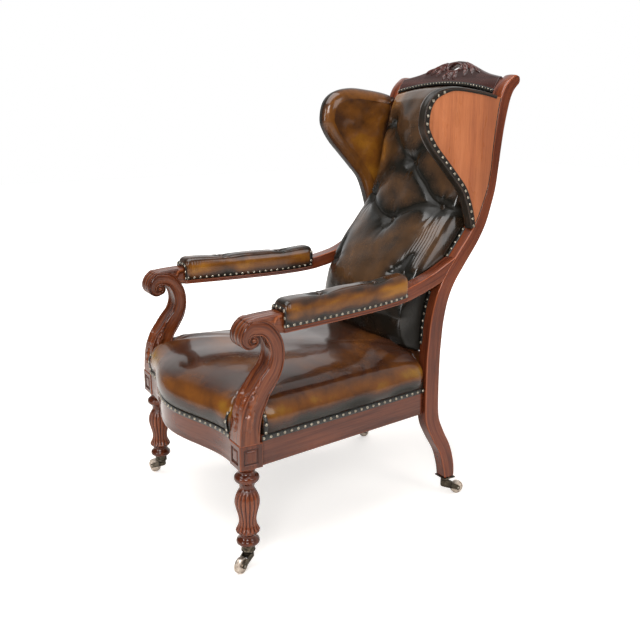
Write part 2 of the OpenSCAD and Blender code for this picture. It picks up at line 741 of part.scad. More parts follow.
// Ring of wire at share t up an hourglass spring
function spring_ring(t) =
    let (
        a = 360 * spring_turns * t, r = spring_r * (0.78 + 0.22 * cos(360 * t)) - wire_r,
        z = wire_r + (spring_h - 2 * wire_r) * t, c = [r * cos(a), r * sin(a), z]
    )
    [
        for (k = [0 : spring_sides - 1])
            let (b = 45 + 360 * k / spring_sides)
            c + wire_r * sqrt(2) * [cos(b) * cos(a), cos(b) * sin(a), sin(b)]
    ];
module seat_springs() {
    n = spring_turns * spring_steps;
    rings = [for (i = [0 : n]) spring_ring(i / n)];
    first = [(rings[0][0] + rings[0][2]) / 2];
    last = [(rings[n][0] + rings[n][2]) / 2];
    color("gray")
        for (i = [-1 : spring_rows - 2], j = [-1 : spring_rows - 2])
            translate([i * spring_gap_x, spring_mid_y + j * spring_gap_y, web_z])
                skin(concat([first], rings, [last]));
}

canvas_t = 2;
canvas_z = web_z + spring_h;
pocket_share = 0.80;                                // hollow under the seat in shares of its outline
pocket_z = rail_top + seat_h * 0.42;
module spring_canvas() {
    color("wheat") plan_slab(seat_loop(pocket_share - 0.02), canvas_z, canvas_z + canvas_t);
}
module seat_stuffing() {
    color("dimgray") plan_slab(seat_loop(pocket_share - 0.02), canvas_z + canvas_t, pocket_z - gap);
}

// Seat. The outline runs round the rails and steps in at the arm supports and the stiles.
// Its third value says how far each point may swell.

seat_mid_y = (front_face + seat_back_y) / 2;
seat_side_steps = 8;
seat_front_steps = 7;
post_free = 6;                                      // seat behind the arm supports' feet
seat_half = concat(
    [
        for (i = [0 : seat_front_steps])
            let (x = lerp(0, block_in - 2 * gap, i / seat_front_steps))
            [x, front_y(x), i == seat_front_steps ? 0 : 1]
    ],
    [[block_in - 2 * gap, block_back + post_free, 0]],
    [
        for (i = [0 : seat_side_steps])
            let (y = lerp(block_back + post_free, knee_y - 2 * gap, i / seat_side_steps))
            [side_x(y), y, i == 0 || i == seat_side_steps ? 0 : 1]
    ],
    [[stile_in - 2 * gap, knee_y - 2 * gap, 0]],
    [for (i = [0 : 3]) [(stile_in - 2 * gap) * (1 - i / 4), seat_back_y, 0]]
);
seat_full = concat(seat_half, [[0, seat_back_y, 0]],
    [for (i = [len(seat_half) - 1 : -1 : 1]) [-seat_half[i][0], seat_half[i][1], seat_half[i][2]]]);
function seat_point(q, s, swell) =
    let (d = [q[0], q[1] - seat_mid_y])
    [0, seat_mid_y] + d * s + d / norm(d) * swell * q[2];
function seat_loop(s) = [for (q = seat_full) seat_point(q, s, 0)];
// Sides of the seat: share of the outline, share of seat_roll up, share of the swelling
seat_side_share = [
    [1.0, 0, 0.15], [1.0, 0.28, 0.9], [1.0, 0.60, 1.0], [0.99, 0.84, 0.7], [0.965, 1.0, 0.2]
];
seat_crown_share = [0.925, 0.86, 0.77, 0.64, 0.48, 0.30, 0.12];
seat_base = rail_top + gap;
function seat_crown(s) = seat_base + lerp(seat_roll, seat_h, pow(1 - pow(s / 0.965, 2.2), 0.8));

module seat_cushion() {
    color("saddlebrown") skin(concat(
        [[[0, seat_mid_y, pocket_z]]],
        [[for (p = seat_loop(pocket_share)) concat(p, [pocket_z])]],
        [[for (p = seat_loop(pocket_share)) concat(p, [seat_base])]],
        [for (r = seat_side_share) [
            for (q = seat_full)
                concat(seat_point(q, r[0], r[2] * seat_bulge), [seat_base + r[1] * seat_roll])
        ]],
        [for (s = seat_crown_share) [for (p = seat_loop(s)) concat(p, [seat_crown(s)])]],
        [[[0, seat_mid_y, seat_base + seat_h]]]
    ));
}

seat_band_h = rail_h - block_h;
module seat_band() {
    z0 = block_top;
    band_y0 = block_back + gap;
    color("darkslategray") {
        plan_slab(front_strip(-band_t, 0), z0, z0 + seat_band_h);
        both_sides() plan_slab(side_strip(-band_t, 0, band_y0, knee_y - gap), z0, z0 + seat_band_h);
    }
}

// Nail heads

nail_dome_share = [[1, 0], [1, 0.16], [0.84, 0.62], [0.42, 1], [0, 1]];
module nail() {
    rotate_extrude($fn = 20)
        polygon(concat([[0, 0]], [for (s = nail_dome_share) [s[0] * nail_r, s[1] * nail_h]]));
}
// Nail at p whose head faces along d
module nail_at(p, d) {
    translate(p) rotate([0, acos(d[2] / norm(d)), atan2(d[1], d[0])]) nail();
}
function paced(length) = max(round(length / nail_pitch), 2);

module seat_nails() {
    z = block_top + seat_band_h / 2;
    span = block_in - nail_r;
    nx = paced(2 * span);
    ny = paced(knee_y - block_back);
    lean = (side_x0 - side_x1) / (knee_y - block_back);
    color("darkgoldenrod") {
        for (i = [0 : nx])
            let (
                x = lerp(-span, span, i / nx),
                slope = (front_y(x + nail_r) - front_y(x - nail_r)) / (2 * nail_r)
            )
            nail_at([x, front_y(x) - band_t - abs(slope) * nail_r / 4 - gap, z], [slope, -1, 0]);
        both_sides() for (i = [0 : ny])
            let (y = lerp(block_back + nail_r + gap, knee_y - nail_r - gap, i / ny))
            nail_at([side_x(y) + band_t, y, z], [1, lean, 0]);
    }
}

module wing_nails() {
    run = edge(wing_band_run, -band_w / 2);
    last = len(run) - 1;
    dist = [for (i = 0, s = 0; i <= last; s = s + (i < last ? norm(run[i + 1] - run[i]) : 0), i = i + 1) s];
    n = paced(dist[last]);
    ys = [for (i = [0 : last]) [dist[i], run[i][0]]];
    zs = [for (i = [0 : last]) [dist[i], run[i][1]]];
    color("darkgoldenrod") both_sides() for (i = [0 : n])
        let (s = lerp(nail_r, dist[last] - nail_r, i / n))
        nail_at([stile_out + band_t, lookup(s, ys), lookup(s, zs)], [1, 0, 0]);
}

// Arm pads: a saddle of leather over the rail, buttoned twice on top

arm_button_share = [0.30, 0.75];                    // places of the buttons along the pad
arm_tuft = 11;
arm_swell = 11;                                     // leather's swelling past the rail
arm_section = 12;
roof_share = 0.25;                                  // where the pad's hollow turns from side to roof
arm_band_h = 10;
// Half width and height of the pad's outer skin at share t from one lower edge to the other
function pad_round(a) = sign(cos(a)) * pow(abs(cos(a)), 0.55);
function pad_lift(a) = pow(max(sin(a), 0), 0.62);
function arm_end_drop(s) = 1 - 0.16 * pow(abs(2 * s - 1), 6);
function tuft_fall(s, t) = max([for (b = arm_button_share) exp(-pow((s - b) / 0.055, 2))])
    * exp(-pow((t - 0.5) / 0.16, 2));
function arm_skin(s) =
    let (
        y = lerp(pad_y0, pad_y1, s), m = arm_mid(y), h = arm_half(y), z0 = arm_low(y) + arm_lip + gap,
        foot = arm_band_h + gap, top = (arm_pad_h - arm_lip) * arm_end_drop(s) - foot
    )
    [
        for (k = [0 : arm_section])
            let (t = max(k - 1, 0) / (arm_section - 2), a = 180 * t)
            k == 0 ? [m + h, y, z0]
            : k == arm_section ? [m - h, y, z0]
            : [
                m + (h + arm_swell * (1 - pow(2 * t - 1, 4)) * arm_end_drop(s)) * pad_round(a), y,
                z0 + foot + top * pad_lift(a) - arm_tuft * tuft_fall(s, t)
            ]
    ];
function arm_core(s) =
    let (
        y = lerp(pad_y0, pad_y1, s), m = arm_mid(y), h = arm_half(y) - arm_rebate + gap,
        z0 = arm_low(y) + arm_lip + gap, z1 = arm_low(y) + arm_t / cos(heading_at(y)) + 4 * gap
    )
    [
        for (k = [0 : arm_section])
            let (t = k / arm_section)
            t <= roof_share ? [m + h, y, lerp(z0, z1, t / roof_share)]
            : t >= 1 - roof_share ? [m - h, y, lerp(z0, z1, (1 - t) / roof_share)]
            : [m + lerp(h, -h, (t - roof_share) / (1 - 2 * roof_share)), y, z1]
    ];
function heading_at(y) =
    atan((lookup(y + nail_r, arm_table) - lookup(y - nail_r, arm_table)) / (2 * nail_r));

module arm_pad(side) {
    n = arm_section + 1;
    rings = [for (i = [0 : pad_steps]) concat(arm_skin(i / pad_steps), reversed(arm_core(i / pad_steps)))];
    m = 2 * n;
    last = pad_steps * m;
    walls = [
        for (i = [0 : pad_steps - 1], j = [0 : m - 1])
            let (a = i * m + j, b = i * m + (j + 1) % m)
            each [[a, b, b + m], [a, b + m, a + m]]
    ];
    ends = [
        for (j = [0 : n - 2])
            let (a = j, b = j + 1, c = m - 2 - j, d = m - 1 - j)
            each [[a, c, b], [a, d, c], [last + a, last + b, last + c], [last + a, last + c, last + d]]
    ];
    color("saddlebrown") on_side(side) polyhedron([for (r = rings) each r], concat(walls, ends));
}
module arm_pad_left() { arm_pad(1); }
module arm_pad_right() { arm_pad(-1); }

button_h = 5;
module button() {
    rotate_extrude() polygon([
        [0, 0], [button_r, 0], [button_r, button_h * 0.3], [button_r * 0.82, button_h * 0.68],
        [button_r * 0.45, button_h], [0, button_h]
    ]);
}
arm_button_lift = 2.9;
module arm_buttons() {
    color("saddlebrown") both_sides() for (s = arm_button_share)
        let (y = lerp(pad_y0, pad_y1, s), p = arm_skin(s)[arm_section / 2])
        translate([p[0], y, p[2] + arm_button_lift]) rotate([heading_at(y), 0, 0]) button();
}

module arm_bands() {
    color("darkslategray") both_sides() intersection() {
        side_slab(pad_layer(arm_lip + gap, arm_lip + arm_band_h), stile_in - arm_w, arm_x_max + arm_w);
        union() {
            plan_slab(arm_strip(gap, band_t + gap, pad_y0, pad_y1), block_top, stile_h);
            plan_slab(arm_inner_strip(gap, band_t + gap, pad_y0, pad_y1), block_top, stile_h);
        }
    }
}
module arm_nails() {
    n = paced(arm_pad_l);
    lean_out = (arm_mid(shoulder_end) + arm_half(shoulder_end) - stile_out) / (arm_turn_y - shoulder_end);
    lean_in = (arm_mid(shoulder_end) - arm_half(shoulder_end) - stile_in) / (arm_turn_y - shoulder_end);
    color("darkgoldenrod") both_sides() for (i = [0 : n])
        let (y = lerp(pad_y0 + nail_r, pad_y1 - nail_r, i / n), z = arm_low(y) + arm_lip + arm_band_h / 2) {
            nail_at([arm_mid(y) + arm_half(y) + band_t + gap, y, z], [1, lean_out, 0]);
            nail_at([arm_mid(y) - arm_half(y) - band_t - gap, y, z], [-1, -lean_in, 0]);
        }
}

// Back: webbing, buttoned pad and outside panel

back_web_count = 7;
module back_webbing() {
    z0 = low_z + low_rail_h + web_w / 2;
    z1 = crest_low_end - web_w * 1.5;
    a = pad_set + pad_free;
    color("tan") for (i = [0 : back_web_count - 1])
        let (z = lerp(z0, z1, i / (back_web_count - 1)))
        side_slab(track(z, z + web_w, a, a + web_t, 3), -stile_in, stile_in);
}

outside_steps = 24;
module outside_back_panel() {
    z1 = crest_low_end - gap;
    zs = [for (i = [0 : outside_steps]) lerp(low_z, z1, i / outside_steps)];
    color("saddlebrown") side_slab(concat(
        [for (z = zs) [stile_back(z) - panel_set, z]],
        [for (z = reversed(zs)) [stile_back(z) - panel_set + panel_t, z]]
    ), -stile_in, stile_in);
}

// Depth of the pad in front of the stiles: share of its height, then shares of back_pad_d
// at the middle and at the sides
pad_depth_share = [
    [0.00, 0.46, 0.22], [0.06, 0.76, 0.38], [0.14, 0.91, 0.45], [0.27, 1.00, 0.48], [0.46, 0.96, 0.48],
    [0.60, 0.86, 0.36], [0.72, 0.78, 0.28], [0.86, 0.63, 0.23], [0.95, 0.38, 0.15], [1.00, 0.13, 0.08]
];
pad_mid_table = [for (s = pad_depth_share) [s[0], s[1] * back_pad_d]];
pad_side_table = [for (s = pad_depth_share) [s[0], s[2] * back_pad_d]];
pad_cols = 24;
pad_rows = 30;
pad_half = stile_in - 2 * gap;
pad_droop = 6;                                      // back pad below its bottom rail
pad_low = low_z - pad_droop;
// Buttons, in shares of the pad's half width and of its height
button_share = [
    [-0.75, 0.867], [0.75, 0.867], [0, 0.70], [-0.75, 0.533], [0.75, 0.533], [0, 0.467],
    [-0.75, 0.30], [0.75, 0.30]
];
// Pleats, each between two places in the same shares
pleat_share = [
    [[-0.75, 0.867], [0, 0.70]], [[0.75, 0.867], [0, 0.70]], [[0, 0.70], [-0.75, 0.533]],
    [[0, 0.70], [0.75, 0.533]], [[-0.75, 0.533], [0, 0.467]], [[0.75, 0.533], [0, 0.467]]
];
function pad_z(col, row) = lerp(pad_low, crest_low(pad_x(col)) - 2 * gap, row / pad_rows);
function pad_x(col) = pad_half * col * 2 / pad_cols;
// Grid point of the pad nearest to a place given in shares, as column and row, and in X and Z
function pad_cell(s) = [round(s[0] * pad_cols / 2), round(s[1] * pad_rows)];
function pad_place(s) = let (b = pad_cell(s)) [pad_x(b[0]), pad_z(b[0], b[1])];
button_cells = [for (s = button_share) pad_cell(s)];
buttons = [for (s = button_share) pad_place(s)];
pleats = [for (p = pleat_share) [pad_place(p[0]), pad_place(p[1])]];
// Distance from q to the stretch between a and b
function off_line(q, a, b) =
    let (d = b - a, t = min(max((q - a) * d / (d * d), 0), 1)) norm(q - a - t * d);
tuft_size = 30;
pleat_size = 11;
function hollow(q) =
    tuft_d * max([for (b = buttons) exp(-pow(norm(q - b) / tuft_size, 2))])
    + pleat_d * max([for (p = pleats) exp(-pow(off_line(q, p[0], p[1]) / pleat_size, 2))]);
function pad_front(col, row) =
    let (
        x = pad_x(col), z = pad_z(col, row), u = abs(x) / pad_half, v = row / pad_rows,
        side = lookup(v, pad_side_table), mid = lookup(v, pad_mid_table)
    )
    stile_front(z) - lerp(side, mid, pow(1 - pow(u, 2.6), 0.75)) + hollow([x, z]) * (1 - pow(u, 8));

module back_pad() {
    half = pad_cols / 2;
    w = pad_cols + 1;
    fronts = [for (r = [0 : pad_rows], c = [-half : half]) [pad_x(c), pad_front(c, r), pad_z(c, r)]];
    function rear(c, r) = [pad_x(c), stile_front(pad_z(c, r)) + pad_set, pad_z(c, r)];
    rears = [for (r = [0 : pad_rows], c = [-half, half]) rear(c, r)];
    lows = [for (c = [-half + 1 : half - 1]) rear(c, 0)];
    tops = [for (c = [-half + 1 : half - 1]) rear(c, pad_rows)];
    f = len(fronts);
    lo = f + len(rears);
    hi = lo + len(lows);
    function back_left(r) = f + 2 * r;
    function back_right(r) = f + 2 * r + 1;
    low_row = concat([back_left(0)], [for (i = [0 : len(lows) - 1]) lo + i], [back_right(0)]);
    high_row = concat([back_left(pad_rows)], [for (i = [0 : len(tops) - 1]) hi + i], [back_right(pad_rows)]);
    faces = concat(
        [for (r = [0 : pad_rows - 1], c = [0 : pad_cols - 1]) let (a = r * w + c)
            each [[a, a + w, a + w + 1], [a, a + w + 1, a + 1]]],
        [for (r = [0 : pad_rows - 1])
            each [[r * w, back_left(r), back_left(r + 1)], [r * w, back_left(r + 1), (r + 1) * w]]],
        [for (r = [0 : pad_rows - 1])
            each [
                [r * w + pad_cols, back_right(r + 1), back_right(r)],
                [r * w + pad_cols, (r + 1) * w + pad_cols, back_right(r + 1)]
            ]],
        [for (r = [1 : pad_rows - 2])
            each [
                [back_left(r), back_right(r), back_right(r + 1)],
                [back_left(r), back_right(r + 1), back_left(r + 1)]
            ]],
        [for (i = [0 : pad_cols - 1]) [low_row[i], low_row[i + 1], i < half ? back_left(1) : back_right(1)]],
        [[low_row[half], back_right(1), back_left(1)]],
        [for (i = [0 : pad_cols - 1])
            [high_row[i + 1], high_row[i], i < half ? back_left(pad_rows - 1) : back_right(pad_rows - 1)]],
        [[high_row[half], back_left(pad_rows - 1), back_right(pad_rows - 1)]],
        [for (c = [0 : pad_cols - 1]) each [[c, c + 1, low_row[c + 1]], [c, low_row[c + 1], low_row[c]]]],
        [for (c = [0 : pad_cols - 1]) let (a = pad_rows * w + c)
            each [[a, high_row[c + 1], a + 1], [a, high_row[c], high_row[c + 1]]]]
    );
    color("saddlebrown") polyhedron(concat(fronts, rears, lows, tops), faces);
}

// How far the leather stands before the grid point c, r at a step of u columns and w rows from it
function swell(c, r, u, w) =
    let (
        a = abs(u), b = abs(w), i = sign(u), j = sign(w), y = pad_front(c, r),
        side = y - pad_front(c + i, r), up = y - pad_front(c, r + j), far = y - pad_front(c + i, r + j)
    )
    u * w < 0 ? a * side + b * up
    : a > b ? (a - b) * side + b * far
    : (b - a) * up + a * far;
// Button at a grid point of the pad: it leans with the leather, and its rim rests on the hollow's sides
module back_button(c, r) {
    dz = pad_z(c, r + 1) - pad_z(c, r);
    slope = (pad_front(c, r + 1) - pad_front(c, r - 1)) / (2 * dz);
    rise = atan(slope);
    lift = gap + max([
        for (a = [0 : 15 : 345])
            let (u = button_r * cos(a) / pad_x(1), w = button_r * sin(a) * cos(rise) / dz)
            swell(c, r, u, w) + slope * w * dz
    ]);
    translate([pad_x(c), pad_front(c, r) - lift, pad_z(c, r)]) rotate([90 - rise, 0, 0]) button();
}
module back_buttons() {
    color("saddlebrown") for (b = button_cells) back_button(b[0], b[1]);
}

// Leather bands and nails where the back pad meets the stiles' front faces, below and above the arm
side_band_w = 10;
side_band_x = stile_in + gap + side_band_w / 2;
nail_free = gap * 3 / 2;                            // nail heads before the stile's band
// Heights at which the arm rail's underside and top meet the stile's front
arm_top_table = [for (q = bank(arm_run, 1)) [q[0], q[1]]];
cross_steps = 120;
cross_zs = [for (i = [0 : cross_steps]) lerp(low_z, wing_low_z, i / cross_steps)];
arm_meets_low = min([for (z = cross_zs) if (z > arm_low(stile_front(z))) z]);
arm_meets_high = max([for (z = cross_zs) if (z < lookup(stile_front(z), arm_top_table)) z]);
side_spans = [
    [low_z, arm_meets_low - side_band_w], [arm_meets_high + side_band_w, wing_low_z - nail_r]
];
module back_bands() {
    color("darkslategray") both_sides() for (e = side_spans)
        side_slab(track(e[0], e[1], -band_t - gap, -gap, 10), stile_in + gap, stile_in + gap + side_band_w);
}
module back_nails() {
    color("darkgoldenrod") both_sides() for (e = side_spans)
        let (z0 = e[0] + nail_r, z1 = e[1] - nail_r, n = paced(z1 - z0))
        for (i = [0 : n])
            let (
                z = lerp(z0, z1, i / n),
                slope = (stile_front(z + nail_r) - stile_front(z - nail_r)) / (2 * nail_r)
            )
            nail_at([side_band_x, stile_front(z) - band_t - nail_free, z], [0, -1, slope]);
}

// Castors. Each is drawn with its pivot on the Z axis and its wheel trailing along +X.

front_cup_z = 39;                                   // underside of the front cups
rear_cup_z = 44;                                    // underside of the rear plates' bosses
pin_floor = 6;                                      // metal the swivel pin passes through
pin_head_r = stem_r * 1.55;
pin_head_h = 3.6;
head_room = 6;
arm_plate = 3;                                      // thickness of a fork's arm
crown_r = wheel_w / 2 + gap * 2 + arm_plate;
eye_r = axle_r * 2.4;
axle_out = 1;                                       // axle's end past the fork
plate_t = 3;
plate_lip = 2;
plate_x = stile_t + 2 * plate_lip;
plate_y = stile_d * 0.84;
screw_r = 1.8;
screw_l = 16;
screw_head_r = 3.4;
screw_head_h = 1.6;
screw_edge = 1.4;
screw_out = plate_x / 2 - screw_head_r - screw_edge;
// Heading of each wheel's trail
trail_front_left = -61;
trail_front_right = 200;
trail_rear_left = 82;
trail_rear_right = 105;

module at_front(side) { translate([side * leg_x, leg_y, 0]) children(); }
module at_rear(side) { translate([side * foot_x, foot_y, 0]) children(); }

module pin_hole(z) {
    translate([0, 0, z - cut]) cylinder(h = pin_floor + 2 * cut, r = stem_r + play);
    translate([0, 0, z + pin_floor]) cylinder(h = head_room, r = pin_head_r + gap);
}
module front_cup() {
    h = cup_top - front_cup_z;
    color("darkgoldenrod") difference() {
        rotate_extrude() polygon([
            [0, front_cup_z], [cup_r * 0.62, front_cup_z], [cup_r, front_cup_z + h * 0.25],
            [cup_r * 1.07, front_cup_z + h * 0.35], [cup_r, front_cup_z + h * 0.45],
            [cup_r, cup_top], [0, cup_top]
        ]);
        pin_hole(front_cup_z);
        translate([0, 0, cup_top - spigot_h]) cylinder(h = spigot_h + cut, r = spigot_r + fit);
    }
}
module rear_plate() {
    top = foot_z;
    boss_top = top - plate_t;
    color("darkgoldenrod") difference() {
        union() {
            translate([-plate_x / 2, -plate_y / 2, boss_top]) cube([plate_x, plate_y, plate_t]);
            translate([0, 0, rear_cup_z])
                cylinder(h = boss_top - rear_cup_z, r1 = crown_r * 0.86, r2 = crown_r * 1.15);
        }
        pin_hole(rear_cup_z);
        for (s = [-1, 1]) translate([s * screw_out, 0, boss_top - cut])
            cylinder(h = plate_t + 2 * cut, r = screw_r + fit);
    }
}
module rear_screws(grow) {
    translate([foot_x, foot_y, 0]) for (s = [-1, 1]) translate([s * screw_out, 0, foot_z - plate_t]) {
        cylinder(h = screw_l, r = screw_r + grow);
        translate([0, 0, -screw_head_h]) cylinder(h = screw_head_h, r = screw_head_r);
    }
}
module castor_screws() {
    color("goldenrod") both_sides() rear_screws(0);
}

module fork(r, trail, under) {
    crown_top = under - gap;
    crown_low = r + crown_r * 0.9;
    color("darkgoldenrod") difference() {
        union() {
            translate([0, 0, crown_low]) cylinder(h = crown_top - crown_low, r = crown_r);
            cylinder_between(crown_top - cut, under + pin_floor + gap + pin_head_h, stem_r);
            translate([0, 0, under + pin_floor + gap]) cylinder(h = pin_head_h, r = pin_head_r);
            for (s = [-1, 1]) translate([0, s * (wheel_w / 2 + 2 * gap + arm_plate / 2) + arm_plate / 2, 0])
                rotate([90, 0, 0]) linear_extrude(arm_plate) {
                    polygon([
                        [-crown_r * 0.6, crown_top], [crown_r * 0.7, crown_top],
                        [trail + eye_r * 0.7, r + eye_r * 0.7],
                        [trail - eye_r * 0.7, r - eye_r * 0.7], [-crown_r * 0.6, crown_low]
                    ]);
                    translate([trail, r]) circle(r = eye_r);
                }
        }
        translate([trail, crown_r + cut, r]) rotate([90, 0, 0])
            cylinder(h = 2 * (crown_r + cut), r = axle_r + fit);
    }
}
module cylinder_between(z0, z1, r) { translate([0, 0, z0]) cylinder(h = z1 - z0, r = r); }

module axle(r, trail) {
    color("goldenrod") translate([trail, crown_r + axle_out, r]) rotate([90, 0, 0])
        cylinder(h = 2 * (crown_r + axle_out), r = axle_r);
}
module wheel(r, trail) {
    hub_r = axle_r * 1.9;
    color("goldenrod") translate([trail, wheel_w / 2, r]) rotate([90, 0, 0]) difference() {
        rotate_extrude() polygon([
            [0, 0], [hub_r, 0], [hub_r, wheel_w * 0.1], [r * 0.8, wheel_w * 0.1], [r * 0.86, 0],
            [r * 0.95, wheel_w * 0.07], [r, wheel_w * 0.3], [r, wheel_w * 0.7], [r * 0.95, wheel_w * 0.93],
            [r * 0.86, wheel_w], [r * 0.8, wheel_w * 0.9], [hub_r, wheel_w * 0.9], [hub_r, wheel_w],
            [0, wheel_w]
        ]);
        translate([0, 0, -cut]) cylinder(h = wheel_w + 2 * cut, r = axle_r + play);
    }
}

module front_fork(side, turn) { at_front(side) rotate(turn) fork(front_wheel_r, front_trail, front_cup_z); }
module rear_fork(side, turn) { at_rear(side) rotate(turn) fork(rear_wheel_r, rear_trail, rear_cup_z); }
module front_axle(side, turn) { at_front(side) rotate(turn) axle(front_wheel_r, front_trail); }
module rear_axle(side, turn) { at_rear(side) rotate(turn) axle(rear_wheel_r, rear_trail); }
module front_wheel(side, turn) { at_front(side) rotate(turn) wheel(front_wheel_r, front_trail); }
module rear_wheel(side, turn) { at_rear(side) rotate(turn) wheel(rear_wheel_r, rear_trail); }

module castor_cup_front_left() { at_front(1) front_cup(); }
module castor_cup_front_right() { at_front(-1) front_cup(); }
module castor_plate_rear_left() { at_rear(1) rear_plate(); }
module castor_plate_rear_right() { at_rear(-1) rear_plate(); }
module castor_fork_front_left() { front_fork(1, trail_front_left); }
module castor_fork_front_right() { front_fork(-1, trail_front_right); }
module castor_fork_rear_left() { rear_fork(1, trail_rear_left); }
module castor_fork_rear_right() { rear_fork(-1, trail_rear_right); }
module castor_axle_front_left() { front_axle(1, trail_front_left); }
module castor_axle_front_right() { front_axle(-1, trail_front_right); }
module castor_axle_rear_left() { rear_axle(1, trail_rear_left); }
module castor_axle_rear_right() { rear_axle(-1, trail_rear_right); }
module castor_wheel_front_left() { front_wheel(1, trail_front_left); }
module castor_wheel_front_right() { front_wheel(-1, trail_front_right); }
module castor_wheel_rear_left() { rear_wheel(1, trail_rear_left); }
module castor_wheel_rear_right() { rear_wheel(-1, trail_rear_right); }

rear_stile_left();
rear_stile_right();
crest_rail();
back_low_rail();
seat_rail_front();
seat_rail_left();
seat_rail_right();
seat_rail_back();
corner_blocks();
front_leg_left();
front_leg_right();
arm_scroll_left();
arm_scroll_right();
arm_rail_left();
arm_rail_right();
frame_dowels();
wing_board_left();
wing_board_right();
wing_pad_left();
wing_pad_right();
wing_bands();
wing_nails();
seat_webbing();
bottom_cloth();
seat_springs();
spring_canvas();
seat_stuffing();
seat_cushion();
seat_band();
seat_nails();
back_webbing();
back_pad();
back_buttons();
outside_back_panel();
back_bands();
back_nails();
arm_pad_left();
arm_pad_right();
arm_buttons();
arm_bands();
arm_nails();
castor_cup_front_left();
castor_cup_front_right();
castor_plate_rear_left();
castor_plate_rear_right();
castor_screws();
castor_fork_front_left();
castor_fork_front_right();
castor_fork_rear_left();
castor_fork_rear_right();
castor_axle_front_left();
castor_axle_front_right();
castor_axle_rear_left();
castor_axle_rear_right();
castor_wheel_front_left();
castor_wheel_front_right();
castor_wheel_rear_left();
castor_wheel_rear_right();
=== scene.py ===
"""Wingback armchair: polished mahogany frame, buttoned and nailed leather, brass castors.

Metres, +Z up, the chair faces -Y and the sitter's left is +X. Each new piece is a surface
worked out over a grid of two parameters, or a section carried along a path.
"""

import math

import bpy
import numpy as np
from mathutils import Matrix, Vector


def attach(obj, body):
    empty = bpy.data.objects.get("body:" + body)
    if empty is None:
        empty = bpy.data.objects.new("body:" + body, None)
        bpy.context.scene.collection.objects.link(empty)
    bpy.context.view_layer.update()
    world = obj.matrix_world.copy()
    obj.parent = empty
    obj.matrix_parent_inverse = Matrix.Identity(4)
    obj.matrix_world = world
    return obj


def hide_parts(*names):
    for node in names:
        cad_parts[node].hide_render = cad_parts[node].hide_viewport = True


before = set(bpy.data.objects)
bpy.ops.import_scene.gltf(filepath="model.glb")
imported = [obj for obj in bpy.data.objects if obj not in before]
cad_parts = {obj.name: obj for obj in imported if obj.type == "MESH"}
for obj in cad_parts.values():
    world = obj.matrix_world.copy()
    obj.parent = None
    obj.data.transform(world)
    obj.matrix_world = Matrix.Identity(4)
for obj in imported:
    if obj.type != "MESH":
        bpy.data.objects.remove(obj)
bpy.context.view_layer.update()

MM = 0.001

# Sizes of the frame, the same as in the part's source. Most pieces are drawn for the left and mirrored.

LEG_X, LEG_Y = 0.289, -0.3625  # middle of the front leg
BLOCK_BACK, FRONT_FACE = LEG_Y + 0.028, LEG_Y - 0.026  # back of its block, face of the front rail's ends
RAIL_Z, BLOCK_TOP, RAIL_TOP = 0.254, 0.312, 0.326
RAIL_T = 0.028
SEAT_BACK = 0.1995
KNEE_Y = 0.1695  # front of the stile's knee
REACH = 0.262  # how far the stile's scrolled top lies behind the knee
STILE_H, STILE_D = 1.102, 0.042
STILE_IN, STILE_X, STILE_HALF = 0.204, 0.223, 0.019  # inner face, middle, half its width
LOW_Z = 0.436  # bottom rail of the back
CREST_Z, CREST_REACH = 1.141, 0.266
ARM_HALF, ARM_T = 0.0275, 0.033
ARM_Z0, ARM_RISE = BLOCK_TOP + 0.25756, 0.078  # middle of the arm at its front, and its rise from there
SHOULDER = LEG_Y + 0.088  # where the arm rail begins
ARM_LIP = 0.011  # bare wood under the arm pad
PAD_Y0, PAD_Y1 = SHOULDER + 0.0003, SHOULDER + 0.368


# Curves and grids


def smooth(stations, spans=8):
    """Curve through the stations: a cubic between two of them, whose slope at each station is
    half the step between its neighbours."""
    p = np.asarray(stations, float)
    a = np.vstack([p[:1], p, p[-1:]])
    t = np.linspace(0, 1, spans, endpoint=False)[None, :, None]
    b, c, d, e = (a[i:len(a) - 3 + i][:, None, :] for i in range(4))
    run = (2 * c + (d - b) * t + (2 * b - 5 * c + 4 * d - e) * t**2 + (3 * c - b - 3 * d + e) * t**3) / 2
    return np.vstack([run.reshape(-1, p.shape[1]), p[-1:]])


def lengths(curve):
    """Distance travelled along a curve at each of its points."""
    return np.concatenate([[0], np.cumsum(np.linalg.norm(np.diff(curve[:, :2], axis=0), axis=1))])


def paced(curve, count):
    """The same curve at evenly spaced points."""
    s = lengths(curve)
    u = np.linspace(0, s[-1], count)
    return np.stack([np.interp(u, s, curve[:, i]) for i in range(curve.shape[1])], 1)


def headings(curve):
    """Unit direction of travel in the first two columns."""
    d = np.gradient(curve[:, :2], axis=0)
    return d / np.maximum(np.linalg.norm(d, axis=1, keepdims=True), 1e-12)


def unit(rows):
    """Rows of directions brought to length one."""
    return rows / np.linalg.norm(rows, axis=1, keepdims=True)


def quads(rows, cols, wrap=False):
    """Four-cornered faces over a grid of points; wrap joins its last column to its first."""
    r, c = np.meshgrid(np.arange(rows - 1), np.arange(cols if wrap else cols - 1), indexing="ij")
    d = (c + 1) % cols
    return np.stack([r * cols + c, r * cols + d, (r + 1) * cols + d, (r + 1) * cols + c], -1).reshape(-1, 4)


def volume(co, four, three):
    """Signed volume of a closed skin: the sum of the tetrahedra from one point to every face."""
    tri = np.vstack([four[:, [0, 1, 2]], four[:, [0, 2, 3]], three])
    a, b, c = (co[tri[:, i]] - co.mean(0) for i in range(3))
    return float(np.einsum("ij,ij->i", a, np.cross(b, c)).sum() / 6)


